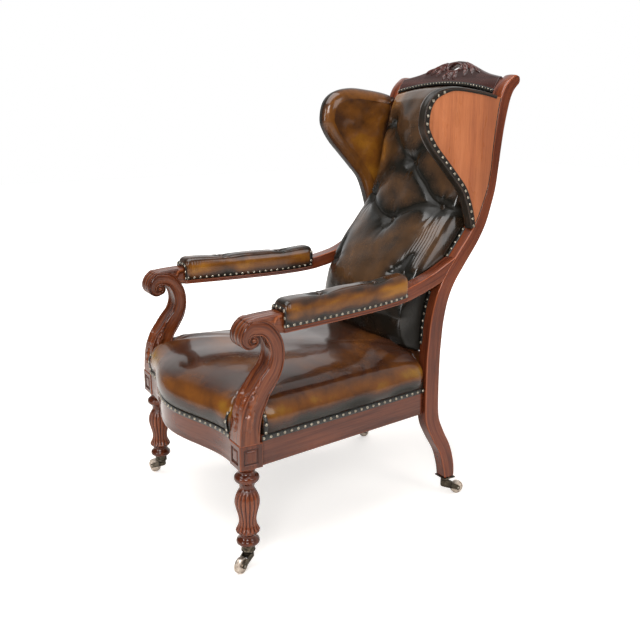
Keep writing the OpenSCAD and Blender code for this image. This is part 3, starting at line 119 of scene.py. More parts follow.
def skin(co, four, three=None, grain=None, rub=None):
    """A closed piece of surface with its faces turned outwards, its grain directions, and its wear together
    with any painted shade laid into it.
    """
    three = np.zeros((0, 3), int) if three is None else np.asarray(three, int)
    if volume(co, four, three) < 0:
        four, three = four[:, ::-1], three[:, ::-1]
    n = len(co)
    grain = co if grain is None else grain
    rub = np.full(n, 0.5) if rub is None else rub
    return dict(co=co, four=four, three=three, grain=grain, rub=rub)


def tube(rings, grain=None, rub=None):
    """Closed skin over a grid of rings, each ring closed on itself and the two ends closed by a fan
    to their middle."""
    rows, cols = rings.shape[:2]
    co = np.vstack([rings.reshape(-1, 3), rings[0].mean(0)[None], rings[-1].mean(0)[None]])
    j = np.arange(cols)
    k = (j + 1) % cols
    first_middle, last_middle = np.full(cols, rows * cols), np.full(cols, rows * cols + 1)
    last = (rows - 1) * cols
    three = np.vstack([np.stack([k, j, first_middle], 1), np.stack([last + j, last + k, last_middle], 1)])

    def ends(v):
        flat = v.reshape(rows * cols, -1)
        return np.vstack([flat, v[0].reshape(cols, -1).mean(0)[None], v[-1].reshape(cols, -1).mean(0)[None]])

    return skin(co, quads(rows, cols, True), three, None if grain is None else ends(grain),
                None if rub is None else ends(rub)[:, 0])


def pillow(front, back, rub=None, grain=None):
    """Closed skin between two grids of the same size whose borders coincide."""
    rows, cols = front.shape[:2]
    index = np.arange(rows * cols).reshape(rows, cols)
    inner = np.zeros((rows, cols), bool)
    inner[1:-1, 1:-1] = True
    other = index.copy()
    other[inner] = rows * cols + np.arange(inner.sum())
    co = np.vstack([front.reshape(-1, 3), back[inner]])
    far = other.reshape(-1)[quads(rows, cols)][:, ::-1]

    def two_faced(v):
        return np.concatenate([v.reshape(rows * cols, -1), v[inner].reshape(inner.sum(), -1)])

    return skin(co, np.vstack([quads(rows, cols), far]), None, None if grain is None else two_faced(grain),
                None if rub is None else two_faced(rub)[:, 0])


def strip(run, normal, side, width, thick):
    """Flat band carried along a path: its section is a rectangle with its edges eased, laid along
    the side direction and standing out along the normal."""
    s = np.array([[-1, 0], [-1, 0.6], [-0.9, 1], [-0.3, 1.05], [0.3, 1.05], [0.9, 1], [1, 0.6], [1, 0]])
    w = np.broadcast_to(np.asarray(width, float), (len(run),))[:, None, None]
    rings = run[:, None] + side[:, None] * s[None, :, :1] * w / 2 + normal[:, None] * s[None, :, 1:] * thick
    return tube(rings)


def flipped(part):
    """The same skin on the other side of the chair."""
    out = dict(part)
    out["co"] = part["co"] * [-1, 1, 1]
    out["four"], out["three"] = part["four"][:, ::-1], part["three"][:, ::-1]
    return out


def make(name, parts, material, replaces=()):
    """Puts skins into one mesh that rides on the frame and stands for the given nodes."""
    parts = [parts] if isinstance(parts, dict) else list(parts)
    starts = np.cumsum([0] + [len(p["co"]) for p in parts])
    co = np.vstack([p["co"] for p in parts])
    four = np.vstack([p["four"] + s for p, s in zip(parts, starts)])
    three = np.vstack([p["three"] + s for p, s in zip(parts, starts)])
    mesh = bpy.data.meshes.new(name)
    mesh.vertices.add(len(co))
    mesh.vertices.foreach_set("co", co.astype(np.float32).ravel())
    loops = np.concatenate([four.ravel(), three.ravel()]).astype(np.int32)
    mesh.loops.add(len(loops))
    mesh.loops.foreach_set("vertex_index", loops)
    begin = np.concatenate([np.arange(len(four)) * 4, len(four) * 4 + np.arange(len(three)) * 3])
    mesh.polygons.add(len(begin))
    mesh.polygons.foreach_set("loop_start", begin.astype(np.int32))
    mesh.update(calc_edges=True)
    mesh.validate()
    mesh.polygons.foreach_set("use_smooth", np.ones(len(mesh.polygons), bool))
    for key, kind, field in (("grain", "FLOAT_VECTOR", "vector"), ("rub", "FLOAT", "value")):
        carried = np.concatenate([p[key] for p in parts]).astype(np.float32).ravel()
        mesh.attributes.new(key, kind, "POINT").data.foreach_set(field, carried)
    mesh.materials.append(material)
    obj = bpy.data.objects.new(name, mesh)
    bpy.context.scene.collection.objects.link(obj)
    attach(obj, "frame")
    if replaces:
        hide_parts(*replaces)
    return obj


def quarter_round(inside, radius):
    """Share of the full height at a distance inside an edge that is rounded off by a radius."""
    return np.sqrt(np.clip(1 - np.clip(1 - inside / radius, 0, 1) ** 2, 0, 1))


def ripple(x, y, z, seed, size):
    """Smooth uneven swelling from -1 to 1: a sum of slanted sine waves of nearby lengths."""
    rng = np.random.default_rng(seed)
    total = np.zeros(np.broadcast(x, y, z).shape)
    for k in range(9):
        d = rng.normal(size=3)
        d *= 2 * math.pi / size / np.linalg.norm(d) * (0.6 + 1.0 * rng.random())
        total = total + np.sin(d[0] * x + d[1] * y + d[2] * z + rng.random() * 7) / (1 + 0.25 * k)
    return total / 3.2


# Paints. Each mixes its colours over the surface and feeds one shader.


class Paint:
    """One material being mixed: nodes are added by kind, and sockets are set or linked by name."""

    def __init__(self, name):
        self.material = bpy.data.materials.new(name)
        self.material.use_nodes = True
        self.nodes = self.material.node_tree.nodes
        self.links = self.material.node_tree.links
        self.shader = self.nodes["Principled BSDF"]

    def add(self, kind, sockets=None, **settings):
        """A new node of a kind, with its sockets and its settings filled in."""
        node = self.nodes.new("ShaderNode" + kind)
        for key, value in settings.items():
            setattr(node, key, value)
        for key, value in (sockets or {}).items():
            self.set(node.inputs[key], value)
        return node

    def set(self, socket, value):
        """Links a socket to a node or to another socket, or sets its value."""
        if isinstance(value, bpy.types.NodeSocket):
            self.links.new(value, socket)
        elif isinstance(value, bpy.types.Node):
            self.links.new(value.outputs[0], socket)
        else:
            socket.default_value = value

    def shade(self, **sockets):
        """Fills in the shader's sockets; an underscore stands for a blank in a name."""
        for key, value in sockets.items():
            self.set(self.shader.inputs[key.replace("_", " ")], value)

    def math(self, operation, a, b):
        """One sum over two values."""
        return self.add("Math", {0: a, 1: b}, operation=operation)

    def blend(self, factor, a, b):
        """Colour between a and b."""
        node = self.add("Mix", data_type="RGBA")
        self.set(node.inputs[0], factor)
        self.set(node.inputs[6], a)
        self.set(node.inputs[7], b)
        return node.outputs[2]

    def ramp(self, factor, stops):
        """Colours or greys along a factor, blended between the stops."""
        node = self.add("ValToRGB", {0: factor})
        line = node.color_ramp
        for i, (at, colour) in enumerate(stops):
            stop = line.elements[i] if i < 2 else line.elements.new(at)
            stop.position = at
            stop.color = (*colour, 1) if isinstance(colour, tuple) else (colour, colour, colour, 1)
        return node.outputs[0]

    def place(self, scale=(1, 1, 1), carried=False):
        """Coordinates in metres: the object's own, or those carried by the surface as its grain."""
        if carried:
            source = self.add("Attribute", attribute_name="grain").outputs["Vector"]
        else:
            source = self.add("TexCoord").outputs["Object"]
        return self.add("Mapping", {"Vector": source, "Scale": scale})

    def noise(self, where, scale=1.0, detail=3.0, rough=0.55, distort=0.0):
        """Cloudy pattern from 0 to 1."""
        return self.add("TexNoise", {"Vector": where, "Scale": scale, "Detail": detail, "Roughness": rough,
                                     "Distortion": distort}).outputs["Fac"]

    def bump(self, height, strength, distance, under=None):
        """Unevenness of the surface by a height, on top of another one if that is given."""
        node = self.add("Bump", {"Height": height, "Strength": strength, "Distance": distance})
        if under is not None:
            self.set(node.inputs["Normal"], under)
        return node


OLD_POLISH = (0.012, 0.004, 0.003, 1)


def tinted(colour, share):
    """A colour made darker or lighter by a share."""
    return (*[min(1, c * share) for c in colour], 1)


def polished_wood(name, dark, mid, light, carried=True, along=0, figure=1.0, gloss=0.2):
    """Mahogany under french polish: long streaks along the grain, a broad ribbon figure, fine open
    pores, and polish rubbed thin on edges and thick in hollows."""
    p = Paint(name)

    def fibres(long, cross):
        return p.place([long if i == along else cross for i in range(3)], carried)

    streak = p.noise(fibres(9, 260), 1.0, 5.0, 0.6, 0.3)
    broad = p.noise(fibres(2.2, 26), 1.0, 3.0, 0.5, 1.6 * figure)
    cloud = p.noise(fibres(4, 7), 1.0, 2.0)
    mixed = p.math("ADD", p.math("MULTIPLY", streak, 0.45), p.math("MULTIPLY", broad, 0.55))
    colour = p.ramp(mixed, [(0.34, dark), (0.68, light), (0.5, mid)])
    colour = p.blend(p.ramp(cloud, [(0.35, 0.0), (0.75, 0.55)]), colour, tinted(dark, 0.55))
    pores = p.noise(fibres(34, 1500), 1.0, 2.0)
    pore = p.ramp(pores, [(0.60, 0.0), (0.72, 1.0)])
    colour = p.blend(p.math("MULTIPLY", pore, 0.5), colour, tinted(dark, 0.25))
    rough = p.ramp(p.noise(fibres(12, 40), 1.0, 3.0), [(0.3, gloss * 0.7), (0.8, gloss * 1.7)])
    coat = 0.45
    if carried:
        rub = p.add("Attribute", attribute_name="rub").outputs["Fac"]
        colour = p.blend(p.ramp(rub, [(0.0, 0.88), (0.45, 0.0)]), colour, OLD_POLISH)
        colour = p.blend(p.ramp(rub, [(0.60, 0.0), (0.9, 0.6)]), colour, tinted(light, 1.8))
        rough = p.math("ADD", rough, p.ramp(rub, [(0.05, 0.30), (0.42, 0.0)]))
        coat = p.ramp(rub, [(0.05, 0.05), (0.42, coat)])
    p.shade(Base_Color=colour, Roughness=rough, Coat_Weight=coat, Coat_Roughness=0.06,
            Specular_IOR_Level=0.22, Normal=p.bump(pores, 0.16, 0.0006))
    return p.material


def polished_leather(name, deep, dark, warm, bright, wear=0.5, gloss=0.16, mottle=9.0):
    """Hand-dyed hide: an amber ground under a dark glaze that is rubbed away in clouds and on the proud parts
    and lies thick in the folds, with a fine pebble, stretch lines and a high polish.
    Where a skin lays painted shade into the attribute read here, the hide darkens there too."""
    p = Paint(name)
    where = p.place()
    rub = p.add("Attribute", attribute_name="rub").outputs["Fac"]
    cloud = p.noise(where, mottle, 4.0, 0.6, 0.8)
    spots = p.noise(where, mottle * 7, 3.0, 0.6, 0.3)
    dyed = p.math("ADD", p.math("MULTIPLY", cloud, 0.85), p.math("MULTIPLY", spots, 0.22))
    worn = p.math("SUBTRACT", p.math("ADD", p.math("MULTIPLY", rub, 1.1), dyed), 1.1 - wear)
    colour = p.ramp(worn, [(0.05, deep), (0.97, bright), (0.34, dark), (0.68, warm)])
    pebble = p.add("TexVoronoi", {"Vector": where, "Scale": 620.0}, feature="SMOOTH_F1").outputs[0]
    lines = p.noise(where, 95.0, 4.0, 0.7, 2.2)
    crack = p.add("TexVoronoi", {"Vector": where, "Scale": 150.0}, feature="DISTANCE_TO_EDGE").outputs[0]
    seam = p.ramp(crack, [(0.0, 0.0), (0.07, 1.0)])
    tone = p.blend(p.math("MULTIPLY", p.ramp(crack, [(0.0, 1.0), (0.05, 0.0)]), 0.25), colour, (*deep, 1))
    rough = p.ramp(p.noise(where, 30.0, 4.0), [(0.3, gloss * 0.65), (0.75, gloss * 1.7)])
    normal = p.bump(pebble, 0.06, 0.0005)
    normal = p.bump(seam, 0.05, 0.0005, normal.outputs[0])
    normal = p.bump(lines, 0.09, 0.0014, normal.outputs[0])
    rough = p.math("ADD", rough, p.ramp(rub, [(0.0, 0.32), (0.20, 0.0)]))
    coat = p.ramp(rub, [(0.0, 0.04), (0.22, 0.45)])
    p.shade(Base_Color=tone, Roughness=rough, Coat_Weight=coat, Coat_Roughness=0.05,
            Specular_IOR_Level=0.25, Normal=normal)
    return p.material


def metal(name, dull, bright, rough, scale):
    """Old brass or steel: tarnish in clouds over a worn metal."""
    p = Paint(name)
    cloud = p.noise(p.place(), scale, 4.0, 0.65, 0.6)
    p.shade(Base_Color=p.ramp(cloud, [(0.36, dull), (0.64, bright)]), Metallic=1.0,
            Roughness=p.ramp(cloud, [(0.3, rough * 1.5), (0.7, rough * 0.8)]),
            Normal=p.bump(cloud, 0.2, 0.0006))
    return p.material


def cloth(name, low, high, pitch):
    """Plain weave: warp and weft threads crossing at right angles."""
    p = Paint(name)
    where = p.place()
    bands = {"Vector": where, "Scale": pitch, "Distortion": 0.6, "Detail": 2.0}
    warp, weft = (p.add("TexWave", bands, bands_direction=way).outputs["Fac"] for way in "XY")
    thread = p.math("MULTIPLY", warp, weft)
    mixed = p.math("ADD", p.math("MULTIPLY", thread, 0.6), p.math("MULTIPLY", p.noise(where, 40.0), 0.4))
    p.shade(Base_Color=p.ramp(mixed, [(0.1, low), (0.8, high)]), Roughness=0.9,
            Normal=p.bump(thread, 0.5, 0.001))
    return p.material


FRAME_WOOD = polished_wood(
    "frame_mahogany", (0.058, 0.012, 0.005), (0.150, 0.033, 0.012), (0.24, 0.062, 0.020), gloss=0.15)
CARVED_WOOD = polished_wood(
    "carved_mahogany", (0.034, 0.007, 0.003), (0.098, 0.021, 0.007), (0.19, 0.047, 0.014), gloss=0.15)
# The arm supports' mahogany is the same wood as the carved legs. Its colours are raised to paint in the
# highlight that falls along the neck's side.
HIGHLIT_NECK_WOOD = polished_wood(
    "arm_support_mahogany_painted_highlight", (0.046, 0.009, 0.003), (0.150, 0.035, 0.010), (0.28, 0.078, 0.021), gloss=0.14)
CREST_WOOD = polished_wood(
    "crest_mahogany", (0.026, 0.009, 0.008), (0.054, 0.018, 0.014), (0.085, 0.030, 0.024))
BOARD_WOOD = polished_wood(
    "board_mahogany", (0.33, 0.098, 0.040), (0.45, 0.146, 0.056), (0.54, 0.190, 0.080), carried=False,
    along=2, figure=0.5, gloss=0.3)
RAIL_WOOD = polished_wood(
    "rail_mahogany", (0.055, 0.012, 0.006), (0.120, 0.030, 0.013), (0.19, 0.053, 0.021), figure=0.6,
    gloss=0.15)
PLAIN_WOOD = polished_wood(
    "back_rail_mahogany", (0.070, 0.016, 0.007), (0.145, 0.037, 0.015), (0.225, 0.064, 0.025),
    carried=False)
INNER_WOOD = polished_wood(
    "inner_beech", (0.42, 0.27, 0.15), (0.56, 0.39, 0.23), (0.66, 0.48, 0.30), carried=False, gloss=0.6)
LEATHER = polished_leather(
    "glazed_leather", (0.011, 0.008, 0.005), (0.052, 0.020, 0.008), (0.170, 0.060, 0.009),
    (0.30, 0.122, 0.012))
SEAT_LEATHER = polished_leather(
    "glazed_seat_leather", (0.009, 0.008, 0.005), (0.040, 0.014, 0.007), (0.145, 0.048, 0.008),
    (0.26, 0.128, 0.011), gloss=0.13, mottle=5.0)
BACK_LEATHER = polished_leather(
    "glazed_back_leather", (0.007, 0.006, 0.004), (0.032, 0.018, 0.010), (0.074, 0.036, 0.015),
    (0.17, 0.070, 0.014), wear=0.42)
TRIM_LEATHER = polished_leather(
    "dark_trim_leather", (0.006, 0.006, 0.005), (0.011, 0.011, 0.009), (0.018, 0.017, 0.013),
    (0.03, 0.026, 0.018), wear=0.3, gloss=0.3)
NAIL_BRASS = metal("antique_nail_brass", (0.12, 0.10, 0.07), (0.60, 0.54, 0.44), 0.26, 300.0)
CASTOR_BRASS = metal("tarnished_castor_brass", (0.025, 0.022, 0.018), (0.15, 0.125, 0.09), 0.36, 70.0)
TREAD_BRASS = metal("worn_tread_brass", (0.40, 0.33, 0.27), (0.74, 0.65, 0.56), 0.34, 90.0)
PIN_STEEL = metal("worn_pin_steel", (0.30, 0.27, 0.23), (0.58, 0.54, 0.46), 0.3, 120.0)
SPRING_STEEL = metal("oiled_spring_steel", (0.12, 0.12, 0.12), (0.30, 0.30, 0.30), 0.4, 120.0)
WEBBING = cloth("jute_webbing", (0.30, 0.22, 0.12), (0.55, 0.44, 0.28), 260.0)
UNDER_CLOTH = cloth("black_bottom_cloth", (0.008, 0.008, 0.008), (0.035, 0.034, 0.032), 500.0)
CANVAS = cloth("spring_canvas", (0.42, 0.35, 0.24), (0.68, 0.60, 0.46), 420.0)
HAIR = cloth("hair_stuffing", (0.05, 0.035, 0.02), (0.16, 0.12, 0.08), 120.0)


# Sections carried along a path


def rounded_section(corner, flat_x, flat_w):
    """Unit points round a rectangle with quarter-round corners: where each lies between the corner
    centres, and the outward direction there. Columns: across x, across the width, and the two normals."""
    rows = []
    corners = [(1, 1), (-1, 1), (-1, -1), (1, -1)]
    for k, (sx, sw) in enumerate(corners):
        for a in np.linspace(0, math.pi / 2, corner):
            b = a + k * math.pi / 2
            rows.append((sx, sw, math.cos(b), math.sin(b)))
        count = flat_x if k % 2 == 0 else flat_w
        b = (k + 1) * math.pi / 2
        ex, ew = corners[(k + 1) % 4]
        for t in (1 - np.cos(math.pi * np.arange(1, count) / count)) / 2:
            rows.append((sx + (ex - sx) * t, sw + (ew - sw) * t, math.cos(b), math.sin(b)))
    return np.array(rows)


def on_edge(s):
    """1 on the rounded edges of a section and 0 on its flat faces."""
    return np.abs(s[..., 2] * s[..., 3]) > 0.2


def bar(path, half_x, half_w, mid_x, radius, corner, flat_x, flat_w, relief, ease):
    """Bar whose rounded rectangle section is carried along a path in Y and Z. relief adds to the
    section along its own outward direction. Both ends are eased over a small bevel."""
    n = len(path)
    order = np.concatenate([[0], np.arange(n), [n - 1]])
    head = headings(path)[order]
    path = path[order]
    path[0] -= head[0] * ease
    path[-1] += head[-1] * ease
    half_x, half_w = (np.broadcast_to(np.asarray(v, float), (n,))[order] for v in (half_x, half_w))
    for v in (half_x, half_w):
        v[0] -= ease
        v[-1] -= ease
    s = rounded_section(corner, flat_x, flat_w)
    r = np.minimum(radius, np.minimum(half_x, half_w) * 0.95)[:, None]
    x = s[None, :, 0] * (half_x[:, None] - r) + s[None, :, 2] * r
    w = s[None, :, 1] * (half_w[:, None] - r) + s[None, :, 3] * r
    along = lengths(path)[:, None]

    def yz(w):
        return path[:, :1] - head[:, 1:2] * w, path[:, 1:2] + head[:, :1] * w

    rise, wear = relief(along / along[-1], along, s[None], x, w, *yz(w))
    x, w = x + s[None, :, 2] * rise, w + s[None, :, 3] * rise
    grain = np.stack([np.broadcast_to(along, x.shape), x, w], -1)
    return tube(np.stack([mid_x + x, *yz(w)], -1), grain, np.broadcast_to(wear, x.shape))


# Rear stiles

# Share of the reach behind the knee, share of the height, share of the full depth
stile_stations = np.array([
    [0.340, 0.020, 0.70], [0.338, 0.044, 0.70], [0.322, 0.085, 0.82], [0.268, 0.129, 0.87],
    [0.170, 0.172, 0.94], [0.098, 0.212, 1.00], [0.081, 0.263, 0.98], [0.081, 0.358, 0.98],
    [0.094, 0.408, 0.96], [0.112, 0.454, 0.97], [0.160, 0.504, 0.93], [0.238, 0.546, 0.89],
    [0.358, 0.588, 0.88], [0.506, 0.635, 0.83], [0.600, 0.673, 0.77], [0.658, 0.710, 0.70],
    [0.709, 0.749, 0.62], [0.736, 0.790, 0.58], [0.753, 0.835, 0.62], [0.780, 0.889, 0.67],
    [0.814, 0.935, 0.74], [0.845, 0.959, 0.74], [0.888, 0.975, 0.68], [0.944, 0.987, 0.62],
])
STILE_FOOT = 0.058
stile_path = smooth(np.stack([KNEE_Y + stile_stations[:, 0] * REACH, stile_stations[:, 1] * STILE_H,
                              stile_stations[:, 2] * STILE_D / 2], 1), 10)
stile_path = stile_path[stile_path[:, 1] >= STILE_FOOT - 1e-9]
stile_dir = headings(stile_path)
stile_across = np.stack([-stile_dir[:, 1], stile_dir[:, 0]], 1) * stile_path[:, 2:]
front_edge, back_edge = stile_path[:, :2] + stile_across, stile_path[:, :2] - stile_across


def stile_front(z):
    """Y of the stile's front edge at a height."""
    return np.interp(z, front_edge[:, 1], front_edge[:, 0])


def stile_back(z):
    """Y of the stile's back edge at a height."""
    return np.interp(z, back_edge[:, 1], back_edge[:, 0])


def stile_skin():
    """The stile's bar, with its top end closed by half a turn of the scroll and a thumb-moulded front."""
    end, head, half = stile_path[-1, :2], stile_dir[-1], stile_path[-1, 2]
    a = np.linspace(0, math.pi / 2, 9)[1:]
    cap = end + head * (half * np.sin(a))[:, None]
    path = np.vstack([stile_path[:, :2], cap[:-1]])
    width = np.concatenate([stile_path[:, 2], half * np.cos(a[:-1])])

    def relief(u, along, s, x, w, y, z):
        front = np.clip(s[..., 3], 0, 1)
        crown = 0.0022 * front * (1 - (x / STILE_HALF) ** 2) * np.clip((u - 0.80) / 0.06, 0, 1)
        return crown, 0.5 + 0.3 * on_edge(s)

    return bar(path, STILE_HALF, width, STILE_X, 0.0032, 5, 8, 8, relief, 0.0006)


# Crest rail: a plate that leans back, its outline a bell, with leafage on both sides of an opening

crest_side = smooth(np.array([
    [0.78, 0.914], [0.805, 0.929], [0.835, 0.944], [0.884, 0.960], [0.940, 0.977], [0.985, 0.995],
    [1.00, 1.006],
]) * [CREST_REACH, CREST_Z] + [KNEE_Y, 0], 10)
crest_top = smooth(np.array([
    [0, 1.000], [0.16, 0.997], [0.31, 0.990], [0.50, 0.9795], [0.74, 0.968], [1.00, 0.9605],
]) * [STILE_IN, CREST_Z], 10)
CREST_LOW_END, CREST_LOW_MID = CREST_Z * 0.927, CREST_Z * 0.9455
CREST_FRONT, CREST_REAR = 0.0075, 0.009
EYE_W, EYE_H, EYE_Z = 0.046, 0.019, CREST_Z * 0.982


def crest_low(x):
    """Height of the crest's lower edge: a shallow arch."""
    return CREST_LOW_MID + (CREST_LOW_END - CREST_LOW_MID) * (np.abs(x) / STILE_IN) ** 2


def leaf(x, z, stem, width, height, veins=5.0, lobes=0.35):
    """Relief of one carved leaf: highest along its stem, falling to a scalloped edge, cut by veins
    that slant from the stem. stem is a run of points; distances are taken to its nearest point."""
    run = paced(smooth(stem, 6), 26)
    d = headings(run)
    dx, dz = x[..., None] - run[:, 0], z[..., None] - run[:, 1]
    near = np.argmin(dx**2 + dz**2, -1)
    px, pz = (np.take_along_axis(v, near[..., None], -1)[..., 0] for v in (dx, dz))
    t = near / (len(run) - 1.0) + (px * d[near, 0] + pz * d[near, 1]) / lengths(run)[-1]
    off = -px * d[near, 1] + pz * d[near, 0]
    body = np.clip(np.sin(math.pi * np.clip(t, 0, 1) ** 0.8), 0, 1) ** 0.6
    edge = width * body * (1 - lobes * np.abs(np.sin(math.pi * veins * t)))
    q = np.abs(off) / np.maximum(edge, 1e-6)
    shape = np.where(q < 1, np.sqrt(np.clip(1 - q**2, 0, 1)), 0) * ((t > 0) & (t < 1))
    stem_line = 0.45 * np.exp(-(off / (0.10 * width)) ** 2)
    vein_lines = 0.3 * (0.5 + 0.5 * np.cos(2 * math.pi * (veins * t - 0.9 * q))) * np.clip(q * 2, 0, 1)
    return height * shape * (1 - stem_line - vein_lines)


def crest_carving(x, z):
    """Leaf sprays that fan out on both sides of the opening, and a raised rim round it."""
    x = np.abs(x)
    h = np.zeros(x.shape)
    sprays = [
        ([[0.030, 1.129], [0.045, 1.120], [0.055, 1.109], [0.058, 1.097]], 0.0098, 0.0054),
        ([[0.040, 1.134], [0.063, 1.125], [0.079, 1.113], [0.086, 1.101]], 0.0104, 0.0056),
        ([[0.056, 1.133], [0.083, 1.123], [0.102, 1.112], [0.114, 1.105]], 0.0088, 0.0048),
        ([[0.003, 1.112], [0.013, 1.106], [0.022, 1.098], [0.021, 1.088]], 0.0080, 0.0046),
        ([[0.000, 1.112], [0.001, 1.104], [0.001, 1.096], [0.000, 1.087]], 0.0060, 0.0042),
    ]
    for stem, width, height in sprays:
        h = np.maximum(h, leaf(x, z, stem, width, height, 2.5, 0.32))
    q = np.sqrt((x / (EYE_W / 2)) ** 2 + ((z - EYE_Z) / (EYE_H / 2)) ** 2)
    rim = 0.0045 * np.exp(-((q - 1.22) / 0.16) ** 2)
    return np.maximum(h, rim)


def crest_skin():
    """Front and back grids between the lower and the upper edge, eased at both; points inside the
    opening are moved to its rim, and the opening's cells are left out and walled."""
    rows, cols = 66, 301
    u = np.linspace(-1, 1, cols)[None]
    u = np.sign(u) * np.abs(u) ** 1.15
    x = u * STILE_IN
    v = np.linspace(0, 1, rows)[:, None]
    low, top = crest_low(x), np.interp(np.abs(x), crest_top[:, 0], crest_top[:, 1])
    z = low + (top - low) * v
    x = np.broadcast_to(x, z.shape).copy()
    q = np.hypot(x / (EYE_W / 2), (z - EYE_Z) / (EYE_H / 2))
    inside = q < 1
    cells = inside[:-1, :-1] & inside[1:, :-1] & inside[:-1, 1:] & inside[1:, 1:]
    pull = np.where(inside, 1 / np.maximum(q, 1e-3), 1.0)
    x, z = x * pull, EYE_Z + (z - EYE_Z) * pull
    head = headings(crest_side)
    y0 = np.interp(z, crest_side[:, 1], crest_side[:, 0])
    ny, nz = (np.interp(z, crest_side[:, 1], c) for c in (-head[:, 1], head[:, 0]))
    rim = np.minimum(1, np.minimum(v * (top - low), (1 - v) * (top - low)) / 0.006)
    ease = 1 - 0.55 * (1 - rim) ** 2
    carve = crest_carving(x, z)
    rise, sink = CREST_FRONT * ease + carve, CREST_REAR * ease
    front = np.stack([x, y0 + ny * rise, z + nz * rise], -1)
    back = np.stack([x, y0 - ny * sink, z - nz * sink], -1)
    n = rows * cols
    co = np.vstack([front.reshape(-1, 3), back.reshape(-1, 3)])
    keep = ~cells.reshape(-1)
    face = quads(rows, cols)[keep]
    # A wall stands on each edge that only one kept cell uses
    edge = np.vstack([face[:, [i, (i + 1) % 4]] for i in range(4)])
    ends = np.sort(edge, 1)
    first, count = np.unique(ends[:, 0] * n + ends[:, 1], return_index=True, return_counts=True)[1:]
    lone = edge[first[count == 1]]
    wall = np.stack([lone[:, 1], lone[:, 0], lone[:, 0] + n, lone[:, 1] + n], 1)
    used = np.zeros(2 * n, bool)
    four = np.vstack([face, face[:, ::-1] + n, wall])
    used[four.ravel()] = True
    index = np.cumsum(used) - 1
    grain = np.concatenate([np.stack([x, z, y0], -1).reshape(-1, 3)] * 2)
    proud = np.clip(carve / 0.004, 0, 1)
    near = np.clip((0.118 - np.abs(x)) / 0.012, 0, 1) * np.clip((z - 1.088) / 0.006, 0, 1)
    front_rub = 0.5 - 0.32 * near * (1 - proud) + 0.3 * near * proud
    rub = np.concatenate([front_rub.ravel(), np.full(n, 0.5)])
    return skin(co[used], index[four], None, grain[used], rub[used])


# Front legs


def leg_turning(centre_x):
    """Turning: the radius follows the profile's height, and round reeds are cut between two heights."""
    profile = smooth(np.array([
        [59, 14.8], [59.6, 17], [62, 22.5], [66, 26.2], [70, 26.8], [74, 25.6], [79, 21.5], [84, 19.6],
        [88, 21.2], [92, 25.6], [96, 27.9], [100, 26.6], [110, 21.9], [122, 20.2], [135, 22.2], [150, 26.2],
        [160, 28.4], [168, 28.9], [178, 27.6], [190, 22.9], [199, 18.0], [203, 17.0], [208, 17.8],
        [213, 20.2], [219, 26.8], [225, 28.9], [231, 27.2], [236, 21.6], [241, 19.2], [247, 21.6],
        [251, 23.6], [254.5, 24.2],
    ]) * MM, 5)
    z, r = profile[:, :1], profile[:, 1:]
    a = np.linspace(0, 2 * math.pi, 192, endpoint=False)[None]
    reeds, cut_share = 16, 0.115
    depth = np.interp(z[:, 0], np.array([92, 99, 112, 160, 188, 200]) * MM, [0, 1, 1, 1, 0.8, 0])[:, None]
    reed = np.abs(np.cos(reeds / 2 * a)) ** 0.7
    lobe = depth * (1 - reed)
    r = r * (1 - cut_share * lobe)
    grid = np.stack([centre_x + r * np.cos(a), LEG_Y + r * np.sin(a), z + 0 * a], -1)
    rub = 0.55 - 0.5 * np.clip(lobe - 0.45, 0, 1) * 1.6 + 0.25 * depth * reed
    grain = np.stack([z + 0 * a, r * a, 0 * a * r], -1)
    return tube(grid, grain, np.broadcast_to(rub, grid.shape[:2]))


def leg_block(centre_x, out):
    """Square block: each face a grid that is set back inside a bevelled frame where it is panelled."""
    half, half_z = 0.028, 0.029
    sunk_depth, raised_height = 0.0028, 0.0022
    middle = np.array([centre_x, LEG_Y, (RAIL_Z + BLOCK_TOP) / 2])
    borders = np.array([0.57, 0.60, 0.66, 0.985])
    t = np.unique(np.concatenate([np.linspace(-1, 1, 25), -borders, borders]))
    a, b = np.meshgrid(t, t, indexing="ij")
    m = np.maximum(np.abs(a), np.abs(b))
    eased = 1 - 0.03 * np.clip((m - 0.97) / 0.03, 0, 1)
    sunk = sunk_depth * np.clip((0.66 - m) / 0.08, 0, 1)
    raised = raised_height * np.clip((0.50 - m) / 0.12, 0, 1)
    parts = []
    for axis, sign, panelled in ((1, -1, True), (0, out, True), (1, 1, False), (0, -out, False),
                                 (2, 1, False), (2, -1, False)):
        p = np.zeros(a.shape + (3,))
        if axis == 2:
            p[..., 0], p[..., 1], p[..., 2] = half * a, half * b, sign * half_z * eased
        else:
            face = half * eased - panelled * sunk + panelled * raised
            p[..., axis], p[..., 1 - axis] = sign * face, half * a * (1 - 0.012 * (m > 0.999))
            p[..., 2] = half_z * b
        inner = p * 0.6
        inner[0], inner[-1], inner[:, 0], inner[:, -1] = p[0], p[-1], p[:, 0], p[:, -1]
        groove, rim = np.abs(m - 0.57) < 0.05, m > 0.97
        rub = np.where(panelled & (m < 0.66), 0.5 - 0.4 * groove, 0.5 + 0.4 * rim)
        parts.append(pillow(p + middle, inner + middle, rub, p[..., [2, 0, 1]]))
    return parts


# Arm supports: one ribbon from the leg up the neck, over the top and round into the volute

COIL_Y, COIL_Z = -0.349, 0.546
# Degrees turned from the coil's top, and the outer radius there
coil = smooth([
    [0, 46.3], [24, 41.8], [50, 37.6], [90, 32.5], [120, 26.6], [149, 20.8], [180, 15.4], [214, 12.0],
    [275, 11.0], [360, 9.6], [450, 7.6], [540, 6.2], [640, 5.2], [740, 5.0],
], 8) * [1, MM]


